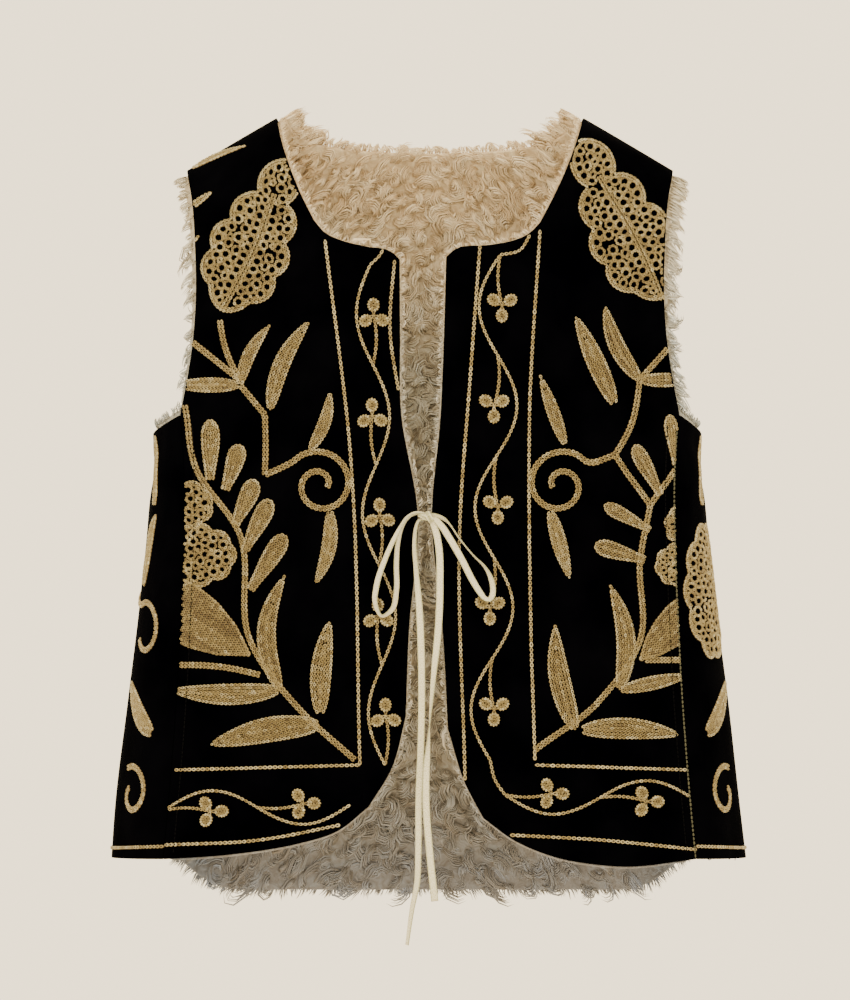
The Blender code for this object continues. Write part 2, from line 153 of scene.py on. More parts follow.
def lengths(points):
    """Length travelled at each of a line's points."""
    return np.append(0, np.cumsum(np.linalg.norm(np.diff(points, axis=0), axis=1)))


def spread_along(points, steps):
    """steps + 1 points, evenly spaced along the smooth curve through the given ones."""
    points = np.array(points, dtype=float)
    travelled = lengths(points)
    rows = np.column_stack([travelled, points])
    return read_smoothly(rows, np.linspace(0, travelled[-1], steps + 1))


def joined(*stretches):
    """One line of points from stretches that each start where the last one ends."""
    return np.concatenate([stretches[0]] + [stretch[1:] for stretch in stretches[1:]])


def shoulder_line(x):
    """Height of the shoulder line at a distance from the centre."""
    centre = math.hypot(NECK_HALF, SHOULDER_EASE)
    return SHOULDER_SLOPE * (centre - np.hypot(x, SHOULDER_EASE))


def drop_at(x, z):
    """Length of cloth from the shoulder line down to a height."""
    fall = np.maximum(shoulder_line(x) - z, 0)
    turned = np.arccos(np.clip(1 - fall / SHOULDER_TURN, 0, 1))
    return SHOULDER_TURN * turned + np.maximum(fall - SHOULDER_TURN, 0)


def sheet_points(x, drop, back):
    """The outer face of a front or of the back, at x and a length down from the shoulder."""
    turned = np.minimum(drop / SHOULDER_TURN, math.pi / 2)
    past_turn = np.maximum(drop - SHOULDER_TURN * math.pi / 2, 0)
    z = shoulder_line(x) - SHOULDER_TURN * (1 - np.cos(turned)) - past_turn
    half_right, half_left, front, rear = np.moveaxis(read_smoothly(SECTIONS, z), -1, 0)
    half = np.where(x < 0, half_right, half_left)
    across = (1 - np.minimum(np.abs(x / half), 1) ** SQUARENESS) ** (1 / SQUARENESS)
    depth = rear if back else -front
    return np.stack([x, depth * across * np.sin(turned), z], axis=-1)


def front_points(x, drop):
    """The outer face of a front."""
    return sheet_points(x, drop, False)


def back_points(x, drop):
    """The outer face of the back."""
    return sheet_points(x, drop, True)


def side_points(t, z, side):
    """The outer face of a side panel: t runs from 0 at the front's seam to 1 at the back's."""
    half_right, half_left, front, rear = np.moveaxis(read_smoothly(SECTIONS, z), -1, 0)
    half = half_right if side < 0 else half_left
    seam = read_smoothly(SIDE_SEAM, z)[..., 0] + SEAM_GAP / 2
    reach = np.arccos((seam / half) ** (SQUARENESS / 2))
    angle = reach * (2 * t - 1)
    x = half * np.cos(angle) ** (2 / SQUARENESS)
    y = np.sign(angle) * np.abs(np.sin(angle)) ** (2 / SQUARENESS)
    y = y * np.where(angle < 0, front, rear)
    down = (SEAM_TOP - z) / (SEAM_TOP - FRONT_SEAM_HEM)
    swell = FLUTE_DEPTH * np.clip(down, 0, 2) ** 1.5 * np.sin(math.pi * t) ** 2
    flute = swell * np.cos(2 * math.pi * FLUTES * (t - 0.5))
    return np.stack([side * (x + flute), y, z], axis=-1)


def right_side_points(t, z):
    """The outer face of the side under the wearer's right arm."""
    return side_points(t, z, -1)


def left_side_points(t, z):
    """The outer face of the side under the wearer's left arm."""
    return side_points(t, z, 1)


def fill_patch(top, bottom, first, last):
    """A grid between four edges, each a line of points; first and last run top to bottom."""
    s = np.linspace(0, 1, len(top))[None, :, None]
    t = np.linspace(0, 1, len(first))[:, None, None]
    ruled_down = (1 - t) * top[None] + t * bottom[None]
    ruled_across = (1 - s) * first[:, None] + s * last[:, None]
    corners = (1 - t) * ((1 - s) * top[0] + s * top[-1])
    corners = corners + t * ((1 - s) * bottom[0] + s * bottom[-1])
    return ruled_down + ruled_across - corners


def shifted(points, distance):
    """A line of points moved to the left of its own direction."""
    ahead = np.gradient(points, axis=0)
    ahead /= np.maximum(np.linalg.norm(ahead, axis=1, keepdims=True), 1e-12)
    return points + np.column_stack([-ahead[:, 1], ahead[:, 0]]) * distance


def on_cloth(points):
    """Turns points given as across and height to x and length down the cloth."""
    return np.column_stack([points[:, 0], drop_at(points[:, 0], points[:, 1])])


def spread_over(points_at, points, steps):
    """steps + 1 places, evenly spaced over the cloth, on the smooth line through the given ones."""
    fine = on_cloth(spread_along(points, 200))
    travelled = lengths(points_at(fine[:, 0], fine[:, 1]))
    wanted = np.linspace(0, travelled[-1], steps + 1)
    return np.column_stack([np.interp(wanted, travelled, column) for column in fine.T])


def seam_point(height):
    """A place on the side seam, as across and height."""
    return (float(read_smoothly(SIDE_SEAM, height)[0]) - SEAM_GAP / 2, height)


def armhole_edge(points_at, armhole, k):
    """Places down an armhole, from the shoulder tip to the side seam."""
    tip = (SHOULDER_HALF, float(shoulder_line(SHOULDER_HALF)))
    return spread_over(points_at, (tip,) + armhole + (seam_point(SEAM_TOP),), ROWS_ARMHOLE * k)


def reach_past_armhole(grid, k):
    """Moves the pile's edge past the armhole."""
    edge = grid[: ROWS_ARMHOLE * k + 1, -1]
    edge[:] = shifted(edge, -PILE_PAST_ARMHOLE)
    edge[0, 1] = RIDGE_GAP
    edge[-1] = on_cloth(np.array([seam_point(SEAM_TOP + PILE_PAST_ARMHOLE)]))[0]


def seam_edge(hem_height, k):
    """Places down the side seam to the hem."""
    heights = np.linspace(SEAM_TOP, hem_height, ROWS_SEAM * k + 1)
    return on_cloth(np.array([seam_point(height) for height in heights]))


def half_grid(points_at, inner, outer, hem_points, columns):
    """A front's or half back's grid between its inner and outer edges, shoulder and hem."""
    hem = spread_over(points_at, hem_points, columns)
    shoulder = np.linspace(inner[0, 0], outer[0, 0], columns + 1)
    top = np.column_stack([shoulder, np.zeros(columns + 1)])
    grid = fill_patch(top, hem, inner, outer)
    grid[0, :, 1] = RIDGE_GAP
    return grid


def front_grid(which, k):
    """x and length down the cloth over a front; k is how many times finer than the coarsest."""
    edges = FRONT_EDGES[which]
    scoop = ((NECK_HALF, 0.0),) + edges["scoop"]
    neck = (edges["scoop"][-1],) + edges["neck"] + (edges["edge_top"],)
    edge = (edges["edge_top"],) + edges["edge"] + (edges["corner_top"],)
    corner = (edges["corner_top"],) + edges["corner"] + (edges["hem_start"],)
    inner = joined(
        spread_over(front_points, scoop, ROWS_SCOOP * k),
        spread_over(front_points, neck, ROWS_NECK * k),
        spread_over(front_points, edge, ROWS_EDGE * k),
        spread_over(front_points, corner, ROWS_CORNER * k),
    )
    outer = joined(armhole_edge(front_points, FRONT_ARMHOLE, k), seam_edge(FRONT_SEAM_HEM, k))
    hem_points = (edges["hem_start"],) + edges["hem"] + (seam_point(FRONT_SEAM_HEM),)
    return half_grid(front_points, inner, outer, hem_points, COLUMNS_FRONT * k)


def half_back_grid(k):
    """x and length down the cloth over half the back; k is as for a front."""
    neck = spread_over(back_points, ((NECK_HALF, 0.0),) + BACK_NECK, ROWS_BACK_NECK * k)
    outer = joined(armhole_edge(back_points, BACK_ARMHOLE, k), seam_edge(BACK_SEAM_HEM, k))
    hem_points = BACK_HEM + (seam_point(BACK_SEAM_HEM),)
    foot = on_cloth(np.array([BACK_HEM[0]]))[0]
    centre = np.linspace(neck[-1], foot, len(outer) - ROWS_BACK_NECK * k)
    return half_grid(back_points, joined(neck, centre), outer, hem_points, COLUMNS_HALF_BACK * k)


def reach_past_front(grid, k):
    """Moves the edges of a front's pile past the opening, the hem and the armhole."""
    rows = len(grid)
    free = shifted(joined(grid[:, 0], grid[-1]), PILE_PAST_OPENING)
    grid[:, 0] = free[:rows]
    grid[-1] = free[rows - 1 :]
    grid[0, 0, 1] = RIDGE_GAP
    reach_past_armhole(grid, k)
    hem_end = seam_point(FRONT_SEAM_HEM - PILE_PAST_SIDE_HEM)
    grid[-1, -1] = on_cloth(np.array([hem_end]))[0]
    return grid


def reach_past_half_back(grid, k):
    """Moves the edges of the back's pile past the neck, the armhole and the hem."""
    neck = grid[: ROWS_BACK_NECK * k + 1, 0]
    neck[:] = shifted(neck, PILE_PAST_BACK_NECK)
    neck[:, 1] = np.maximum(neck[:, 1], RIDGE_GAP)
    neck[-1, 0] = 0.0
    reach_past_armhole(grid, k)
    past_hem = PILE_PAST_SIDE_HEM + HEM_EASE * (grid[-1, -1, 0] - grid[-1, :, 0])
    grid[-1, :, 1] += np.minimum(past_hem, PILE_PAST_BACK_HEM)
    hem_end = seam_point(BACK_SEAM_HEM - PILE_PAST_SIDE_HEM)
    grid[-1, -1] = on_cloth(np.array([hem_end]))[0]
    return grid


def side_grid(k):
    """Places over a side panel, as share of the way round and height."""
    t = np.linspace(0, 1, COLUMNS_SIDE * k + 1)
    top = SEAM_TOP - UNDERARM_DIP * np.sin(math.pi * t)
    hem = FRONT_SEAM_HEM + (BACK_SEAM_HEM - FRONT_SEAM_HEM) * t
    rows = np.linspace(0, 1, ROWS_SEAM * k + 1)[:, None]
    heights = top[None] * (1 - rows) + hem[None] * rows
    return np.stack([np.broadcast_to(t, heights.shape), heights], axis=-1)


def reach_past_side(grid):
    """Moves the edges of a side's pile past the armhole and the hem."""
    grid[0, :, 1] += PILE_PAST_ARMHOLE
    grid[-1, :, 1] -= PILE_PAST_SIDE_HEM
    return grid


# ---------------------------------------------------------------- panels
# Soft creases of each panel: two ends as across and height, half width, depth of the trough.
# A trough of negative depth is a ridge. The sides' across runs from the front's seam.
FRONT_CREASES = (
    ((0.020, -0.300), (0.075, -0.215), 0.0085, 0.0012),
    ((0.022, -0.312), (0.100, -0.335), 0.0090, 0.0010),
    ((0.022, -0.330), (0.080, -0.415), 0.0100, 0.0012),
    ((0.170, -0.205), (0.120, -0.255), 0.0110, 0.0016),
    ((0.176, -0.235), (0.130, -0.300), 0.0100, 0.0012),
    ((0.085, -0.420), (0.095, -0.548), 0.0130, 0.0016),
    ((0.140, -0.440), (0.150, -0.560), 0.0130, 0.0014),
    ((0.115, -0.450), (0.122, -0.556), 0.0120, -0.0014),
    ((0.045, -0.450), (0.055, -0.530), 0.0110, -0.0008),
    ((0.140, -0.060), (0.125, -0.140), 0.0120, 0.0010),
)
BACK_CREASES = (
    ((0.155, -0.190), (0.085, -0.250), 0.0130, 0.0018),
    ((0.165, -0.225), (0.105, -0.310), 0.0120, 0.0014),
    ((0.055, -0.330), (0.075, -0.585), 0.0150, 0.0020),
    ((0.110, -0.360), (0.130, -0.580), 0.0150, -0.0018),
    ((0.150, -0.380), (0.165, -0.575), 0.0140, 0.0016),
    ((0.000, -0.060), (0.000, -0.180), 0.0130, 0.0008),
    ((0.020, -0.420), (0.012, -0.588), 0.0150, -0.0016),
    ((0.100, -0.070), (0.140, -0.110), 0.0110, 0.0010),
)
SIDE_CREASES = (
    ((0.040, -0.250), (0.110, -0.290), 0.0100, 0.0012),
    ((0.110, -0.250), (0.040, -0.300), 0.0100, 0.0012),
    ((0.075, -0.250), (0.075, -0.330), 0.0110, 0.0010),
)


class Panel:
    """One sewn panel: the face that it lies on, which way is out and its soft creases."""

    def __init__(self, name, face, outwards, out, creases, wide=1.0):
        self.name, self.face, self.outwards = name, face, outwards
        self.out, self.creases, self.wide = np.array(out, dtype=float), creases, wide

    def normal(self, places):
        """Unit normals of the face, out of the garment."""
        u, v, step = places[..., 0], places[..., 1], 1e-5
        along_u = self.face(u + step, v) - self.face(u - step, v)
        along_v = self.face(u, v + step) - self.face(u, v - step)
        normal = np.cross(along_u, along_v) * self.outwards
        return normal / np.maximum(np.linalg.norm(normal, axis=-1, keepdims=True), 1e-12)

    def at(self, places, depth=0.0):
        """Points of the creased cloth at places, moved into the garment by depth."""
        flat = self.face(places[..., 0], places[..., 1])
        across = places[..., 0] * self.wide
        sunk = np.zeros(flat.shape[:-1])
        for (x0, z0), (x1, z1), width, deep in self.creases:
            run = (x1 - x0) ** 2 + (z1 - z0) ** 2
            along = ((across - x0) * (x1 - x0) + (flat[..., 2] - z0) * (z1 - z0)) / run
            along = np.clip(along, 0, 1)
            away = np.hypot(across - x0 - along * (x1 - x0), flat[..., 2] - z0 - along * (z1 - z0))
            sunk += deep * np.exp(-((away / width) ** 2))
        return flat - (sunk + depth)[..., None] * self.normal(places)


def mirrored(creases):
    """The same creases on the other side of the centre."""
    return tuple(((-a[0], a[1]), (-b[0], b[1]), width, deep) for a, b, width, deep in creases)


SIDE_WIDE = 0.18
PANELS = {
    "front_right": Panel("front_right", front_points, -1, (0, -1, 0), mirrored(FRONT_CREASES)),
    "front_left": Panel("front_left", front_points, -1, (0, -1, 0), FRONT_CREASES),
    "side_right": Panel(
        "side_right", right_side_points, -1, (-1, 0, 0), SIDE_CREASES, SIDE_WIDE
    ),
    "side_left": Panel("side_left", left_side_points, 1, (1, 0, 0), SIDE_CREASES, SIDE_WIDE),
    "back": Panel(
        "back", back_points, 1, (0, 1, 0), BACK_CREASES + mirrored(BACK_CREASES[:5])
    ),
}


def grids_of(name, k, pile):
    """The panel's grids and, for the pile, how free each place's edge is."""
    side = -1 if name.endswith("right") else 1
    edge = slice(0, ROWS_ARMHOLE + 1)
    if name.startswith("front"):
        which = name.split("_")[1]
        grid = front_grid(which, k)
        if pile:
            grid = reach_past_front(grid, k)
        spans = ((-1, slice(None)), (slice(None), 0), (edge, -1))
        rows, columns = ROWS_ARMHOLE + ROWS_SEAM, COLUMNS_FRONT
        grids = [grid * (side, 1)]
    elif name.startswith("side"):
        grid = side_grid(k)
        if pile:
            grid = reach_past_side(grid)
        spans = ((-1, slice(None)), (0, slice(None)))
        rows, columns = ROWS_SEAM, COLUMNS_SIDE
        grids = [grid]
    else:
        grid = half_back_grid(k)
        if pile:
            grid = reach_past_half_back(grid, k)
        spans = ((-1, slice(None)), (slice(0, ROWS_BACK_NECK + 1), 0), (edge, -1))
        rows, columns = ROWS_ARMHOLE + ROWS_SEAM, COLUMNS_HALF_BACK
        grids = [grid * (-1, 1), grid]
    coarse = np.zeros((rows + 1, columns + 1))
    for span in spans:
        coarse[span] = 1
    fine_columns = np.linspace(0, columns, columns * k + 1)
    fine_rows = np.linspace(0, rows, rows * k + 1)
    free = np.array([np.interp(fine_columns, range(columns + 1), row) for row in coarse])
    free = np.array([np.interp(fine_rows, range(rows + 1), column) for column in free.T]).T
    return grids, free


# ---------------------------------------------------------------- materials
def colour(value):
    """A linear colour from its sRGB hex value."""
    channels = [int(value[i : i + 2], 16) / 255 for i in (0, 2, 4)]
    linear = [c / 12.92 if c <= 0.04045 else ((c + 0.055) / 1.055) ** 2.4 for c in channels]
    return (*linear, 1.0)


def add(material, kind, inputs=None, stops=None, **settings):
    """Adds a node with its settings; an input takes a value or another node's output, a stop a hex."""
    tree = material.node_tree
    node = tree.nodes.new("ShaderNode" + kind)
    for key, value in settings.items():
        setattr(node, key, value)
    for key, value in (inputs or {}).items():
        if isinstance(value, bpy.types.NodeSocket):
            tree.links.new(value, node.inputs[key])
        else:
            node.inputs[key].default_value = value
    for i, (position, value) in enumerate(stops or ()):
        ramp = node.color_ramp.elements
        stop = ramp[i] if i < 2 else ramp.new(position)
        stop.position, stop.color = position, colour(value)
    return node


def finish_of(name):
    """A new material and its surface shader."""
    material = bpy.data.materials.new(name)
    material.use_nodes = True
    return material, material.node_tree.nodes["Principled BSDF"]


def join_to(material, output, surface, key):
    """Links an output to one of the surface's inputs."""
    material.node_tree.links.new(output, surface.inputs[key])


def set_values(shader, values):
    """Sets a shader's own sockets."""
    for key, value in values.items():
        shader.inputs[key].default_value = value


def make_velvet():
    """Cotton velvet, cut pile 1 mm high: nearly black face on, a dusty grey sheen at the turns."""
    material, surface = finish_of("black_cotton_velvet")
    place = add(material, "TexCoord").outputs["Object"]
    # Brushed patches of nap, 40 to 60 mm wide.
    nap = add(material, "TexNoise", {"Vector": place, "Scale": 22.0, "Detail": 3.0})
    tone = add(
        material, "ValToRGB", {"Fac": nap.outputs["Fac"]},
        stops=((0.35, "000001"), (0.70, "030305")),
    )
    join_to(material, tone.outputs["Color"], surface, "Base Color")
    # Tufts of the cut pile, drawn 0.7 mm wide, about twice the real width, to show.
    tufts = add(material, "TexNoise", {"Vector": place, "Scale": 1400.0, "Detail": 2.0})
    relief = add(
        material, "Bump", {"Height": tufts.outputs["Fac"], "Strength": 0.35, "Distance": 0.0004}
    )
    join_to(material, relief.outputs["Normal"], surface, "Normal")
    set_values(surface, {
        "Roughness": 0.85, "Specular IOR Level": 0.002, "Sheen Weight": 0.004,
        "Sheen Roughness": 0.35, "Sheen Tint": colour("8E90A4"),
    })
    return material


def make_yarn():
    """Mercerised cotton yarn in old gold: a soft satin sheen and a twist, dark in each link's eye."""
    material, surface = finish_of("gold_chain_stitch_yarn")
    tone = add(material, "Attribute", attribute_name="tone")
    crest = add(material, "Attribute", attribute_name="crest")
    gold = add(
        material, "ValToRGB", {"Fac": tone.outputs["Fac"]},
        stops=((0.0, "6A5A36"), (0.5, "98895A"), (1.0, "CAC5A6")),
    )
    # Velvet shows through the eye of a link, and the yarn's flanks are painted in shade, darker than its
    # crown.
    eye = add(
        material, "ValToRGB", {"Fac": crest.outputs["Fac"]},
        stops=((0.12, "0D0A07"), (0.48, "A09078"), (0.85, "FFFFFF")),
    )
    yarn = add(
        material, "Mix", {0: 1.0, 6: gold.outputs["Color"], 7: eye.outputs["Color"]},
        data_type="RGBA", blend_type="MULTIPLY",
    )
    join_to(material, yarn.outputs[2], surface, "Base Color")
    # Twist of the plies: a turn about each 0.45 mm of a 4 mm link.
    along = add(material, "UVMap", uv_map="yarn")
    twist = add(
        material, "TexWave",
        {"Vector": along.outputs["UV"], "Scale": 1.0, "Distortion": 0.6, "Detail": 1.0},
        bands_direction="DIAGONAL",
    )
    relief = add(
        material, "Bump", {"Height": twist.outputs["Fac"], "Strength": 0.35, "Distance": 0.0002}
    )
    join_to(material, relief.outputs["Normal"], surface, "Normal")
    set_values(surface, {
        "Roughness": 0.52, "Specular IOR Level": 0.35, "Sheen Weight": 0.15,
        "Sheen Tint": colour("F2DFB4"),
    })
    return material


def greyed_and_shaded(material, colour_output):
    """Dulls a colour down the vest, partly the pile's own greyer colour and partly painted shade inside
    the lower vest and at the hem, and greys it towards the armholes.
    """
    place = add(material, "TexCoord").outputs["Object"]
    along = add(material, "SeparateXYZ", {"Vector": place}).outputs
    # Greyer and darker towards the hem: partly the pile's own colour, partly painted shade.
    fall = add(material, "MapRange", {"Value": along["Z"], "From Min": 0.0, "From Max": -0.63})
    greying_and_shade = add(
        material, "ValToRGB", {"Fac": fall.outputs["Result"]},
        stops=(
            (0.10, "FFFFFF"), (0.30, "D8E7FF"),
            (0.72, "DAE8FF"), (0.93, "9AACD8"),
        ),
    )
    dulled = add(
        material, "Mix", {0: 1.0, 6: colour_output, 7: greying_and_shade.outputs["Color"]},
        data_type="RGBA", blend_type="MULTIPLY",
    )
    aside = add(material, "Math", {0: along["X"]}, operation="ABSOLUTE").outputs["Value"]
    edge = add(material, "MapRange", {"Value": aside, "From Min": 0.150, "From Max": 0.185})
    return add(
        material, "Mix",
        {0: edge.outputs["Result"], 6: dulled.outputs[2], 7: colour("D8E2EE")},
        data_type="RGBA", blend_type="MULTIPLY",
    ).outputs[2]


def make_pile(name, root, middle, tip):
    """Curly acrylic pile after lambskin: matt, pale in a painted highlight at the crests of the curls
    and brown in painted shade at the roots down between them.
    """
    material, surface = finish_of(name)
    along = add(material, "Attribute", attribute_name="along")
    tone = add(material, "Attribute", attribute_name="tone")
    # Painted highlight at the crest of each hair and painted shade at its roots down between the curls.
    crest_highlight_root_shade = add(
        material, "ValToRGB", {"Fac": along.outputs["Fac"]},
        stops=((0.0, root), (0.45, middle), (1.0, tip)),
    )
    vary = add(
        material, "ValToRGB", {"Fac": tone.outputs["Fac"]},
        stops=((0.0, "CDBDA8"), (0.5, "EAE2D6"), (1.0, "FFFFFF")),
    )
    hair = add(
        material, "Mix", {0: 1.0, 6: crest_highlight_root_shade.outputs["Color"], 7: vary.outputs["Color"]},
        data_type="RGBA", blend_type="MULTIPLY",
    )
    join_to(material, greyed_and_shaded(material, hair.outputs[2]), surface, "Base Color")
    set_values(surface, {
        "Roughness": 0.62, "Specular IOR Level": 0.30, "Sheen Weight": 0.25, "Sheen Roughness": 0.5,
        "Sheen Tint": colour("F4EBDD"),
    })
    return material


def make_pile_ground():
    """Knitted ground of the pile with short undercoat: matt, mottled brown and beige, kept darker than
    the curls as painted shade deep in the pile.
    """
    material, surface = finish_of("pile_ground")
    place = add(material, "TexCoord").outputs["Object"]
    curls = add(
        material, "TexNoise", {"Vector": place, "Scale": 130.0, "Detail": 5.0, "Distortion": 1.4}
    )
    # These browns are darker than the curls: painted shade down in the pile.
    tone = add(
        material, "ValToRGB", {"Fac": curls.outputs["Fac"]},
        stops=((0.30, "AA9577"), (0.52, "C6B395"), (0.72, "D8CAAE")),
    )
    join_to(material, greyed_and_shaded(material, tone.outputs["Color"]), surface, "Base Color")
    relief = add(
        material, "Bump", {"Height": curls.outputs["Fac"], "Strength": 0.7, "Distance": 0.002}
    )
    join_to(material, relief.outputs["Normal"], surface, "Normal")
    set_values(surface, {
        "Roughness": 0.9, "Specular IOR Level": 0.1, "Sheen Weight": 0.3,
        "Sheen Tint": colour("E8DCC8"),
    })
    return material


def make_tape():
    """Unbleached cotton tape, plainly woven: cream, matt, with a soft slubby grain."""
    material, surface = finish_of("cream_cotton_tape")
    woven = add(material, "UVMap", uv_map="tape")
    # Slubs of the warp, about 1 mm long and half as wide.
    drawn_out = add(material, "Mapping", {"Vector": woven.outputs["UV"], "Scale": (1.0, 2.2, 1.0)})
    slubs = add(
        material, "TexNoise", {"Vector": drawn_out.outputs["Vector"], "Scale": 900.0, "Detail": 3.0}
    )
    tone = add(
        material, "ValToRGB", {"Fac": slubs.outputs["Fac"]},
        stops=((0.34, "B4AC86"), (0.50, "DEDABA"), (0.64, "F2F1DE")),
    )
    # The tape is darker towards its edges: painted shade along its edges and in the folds of the knot.
    across = add(material, "SeparateXYZ", {"Vector": woven.outputs["UV"]}).outputs["Y"]
    aside = add(material, "Math", {0: across}, operation="ABSOLUTE").outputs["Value"]
    painted_edge_shade = add(material, "MapRange", {"Value": aside, "From Min": 0.0016, "From Max": 0.0026})
    tape = add(
        material, "Mix",
        {0: painted_edge_shade.outputs["Result"], 6: tone.outputs["Color"], 7: colour("BCC0AE")},
        data_type="RGBA", blend_type="MULTIPLY",
    )
    join_to(material, tape.outputs[2], surface, "Base Color")
    # Picks of the weft, 1.2 mm apart along the tape.
    weft = add(
        material, "TexWave", {"Vector": woven.outputs["UV"], "Scale": 260.0, "Distortion": 1.5},
        bands_direction="X",
    )
    both = add(material, "Math", {0: weft.outputs["Fac"], 1: slubs.outputs["Fac"]}, operation="ADD")
    relief = add(
        material, "Bump", {"Height": both.outputs["Value"], "Strength": 0.5, "Distance": 0.0004}
    )
    join_to(material, relief.outputs["Normal"], surface, "Normal")
    set_values(surface, {
        "Roughness": 0.7, "Sheen Weight": 0.2, "Sheen Tint": colour("FFF8E8"),
    })
    return material


def make_sewing_thread(name, dark, light):
    """Cotton sewing thread: fine and matt; black on the velvet, and paler along the left side seam as a
    painted highlight where the front's edge catches the light.
    """
    material, surface = finish_of(name)
    place = add(material, "TexCoord").outputs["Object"]
    plies = add(material, "TexNoise", {"Vector": place, "Scale": 3000.0})
    tone = add(
        material, "ValToRGB", {"Fac": plies.outputs["Fac"]},
        stops=((0.3, dark), (0.7, light)),
    )
    join_to(material, tone.outputs["Color"], surface, "Base Color")
    set_values(surface, {
        "Roughness": 0.8, "Specular IOR Level": 0.05,
    })
    return material


def make_floor():
    """Matt painted board, plain and pale."""
    material, surface = finish_of("pale_floor")
    place = add(material, "TexCoord").outputs["Object"]
    mottle = add(material, "TexNoise", {"Vector": place, "Scale": 1.5, "Detail": 4.0})
    tone = add(
        material, "ValToRGB", {"Fac": mottle.outputs["Fac"]},
        stops=((0.3, "DDD6CB"), (0.7, "E8E3DA")),
    )
    join_to(material, tone.outputs["Color"], surface, "Base Color")
    surface.inputs["Roughness"].default_value = 0.9
    return material


VELVET, YARN, TAPE = make_velvet(), make_yarn(), make_tape()
PILE = make_pile("curly_pile", "AE926E", "DFC9A2", "FAEED6")
PILE_GROUND = make_pile_ground()
SEWING_THREAD = make_sewing_thread("black_sewing_thread", "020203", "08080A")
# The paler thread along the left seam is a painted highlight of the seam's edge.
SEAM_HIGHLIGHT_THREAD = make_sewing_thread("seam_thread_painted_highlight", "34342B", "6A6A56")


# ---------------------------------------------------------------- mesh helpers
def nothing_selected():
    """Leaves every object deselected, in object mode."""
    if bpy.context.object and bpy.context.mode != "OBJECT":
        bpy.ops.object.mode_set(mode="OBJECT")
    bpy.ops.object.select_all(action="DESELECT")


def select_only(piece):
    """Selects one piece and makes it active."""
    nothing_selected()
    piece.select_set(True)
    bpy.context.view_layer.objects.active = piece


@contextlib.contextmanager
def all_in_edit_mode(piece):
    """Edit mode on one piece, with all of it selected, and object mode again afterwards."""
    select_only(piece)
    bpy.ops.object.mode_set(mode="EDIT")
    bpy.ops.mesh.select_all(action="SELECT")
    yield
    bpy.ops.object.mode_set(mode="OBJECT")


def apply_modifiers(piece):
    """Applies all of a piece's modifiers in their order."""
    select_only(piece)
    for modifier in list(piece.modifiers):
        bpy.ops.object.modifier_apply(modifier=modifier.name)


def mesh_piece(name, points, triangles, material, maps=None, uv=None, uv_name="yarn"):
    """A smooth mesh piece from points and triangles, with point attributes and one UV map."""
    mesh = bpy.data.meshes.new(name)
    mesh.vertices.add(len(points))
    mesh.vertices.foreach_set("co", points.astype(np.float32).ravel())
    mesh.loops.add(triangles.size)
    mesh.loops.foreach_set("vertex_index", triangles.astype(np.int32).ravel())
    mesh.polygons.add(len(triangles))
    mesh.polygons.foreach_set("loop_start", np.arange(0, triangles.size, 3, dtype=np.int32))
    mesh.update(calc_edges=True)
    mesh.shade_smooth()
    for key, values in (maps or {}).items():
        layer = mesh.attributes.new(key, "FLOAT", "POINT")
        layer.data.foreach_set("value", values.astype(np.float32).ravel())
    if uv is not None:
        layer = mesh.uv_layers.new(name=uv_name)
        layer.data.foreach_set("uv", uv[triangles.ravel()].astype(np.float32).ravel())
    mesh.materials.append(material)
    piece = bpy.data.objects.new(name, mesh)
    bpy.context.scene.collection.objects.link(piece)
    return piece


def taken_as_model(piece):
    """The points and triangles of a modelled piece, which is then put away."""
    with all_in_edit_mode(piece):
        bpy.ops.mesh.normals_make_consistent(inside=False)
        bpy.ops.mesh.quads_convert_to_tris()
    mesh = piece.data
    points = np.array([vertex.co for vertex in mesh.vertices])
    triangles = np.array([face.vertices[:] for face in mesh.polygons])
    bpy.data.objects.remove(piece, do_unlink=True)
    return points, triangles


def repeated(triangles, count, points_each):
    """The triangles of a model, for count copies of its points."""
    return (np.arange(count)[:, None, None] * points_each + triangles[None]).reshape(-1, 3)


# ---------------------------------------------------------------- camera
EYE_DISTANCE = 5.0
EYE_HEIGHT = -0.29
SENSOR_WIDTH = 36.0
LENS = 234.0
FRAME_SHIFT = -0.005


def set_camera():
    """A long lens straight ahead of the vest."""
    camera = bpy.data.objects.new("camera", bpy.data.cameras.new("camera"))
    bpy.context.scene.collection.objects.link(camera)
    camera.location = (0.0, -EYE_DISTANCE, EYE_HEIGHT)
    camera.rotation_euler = (math.pi / 2, 0.0, 0.0)
    camera.data.sensor_width = SENSOR_WIDTH
    camera.data.lens = LENS
    camera.data.shift_x = camera.data.shift_y = FRAME_SHIFT
    bpy.context.scene.camera = camera


set_camera()

# ---------------------------------------------------------------- ties
TAPE_WIDE = 0.0054
TAPE_THICK = 0.0011
TAPE_CHANNEL = 0.4
KNOT_AT = (-0.0014, -0.1327, -0.3064)
# Turns of the knot: shift across, tilt in radians, share of the full width.
KNOT_TURNS = ((-0.0036, 1.10, 0.60), (0.0006, 0.50, 0.84))
KNOT_RADIUS = 0.0030
KNOT_ROLL = 0.0009
KNOT_SHAPE = (2.9, 0.9, 1.16)
KNOT_TURN_STEP = 0.0004
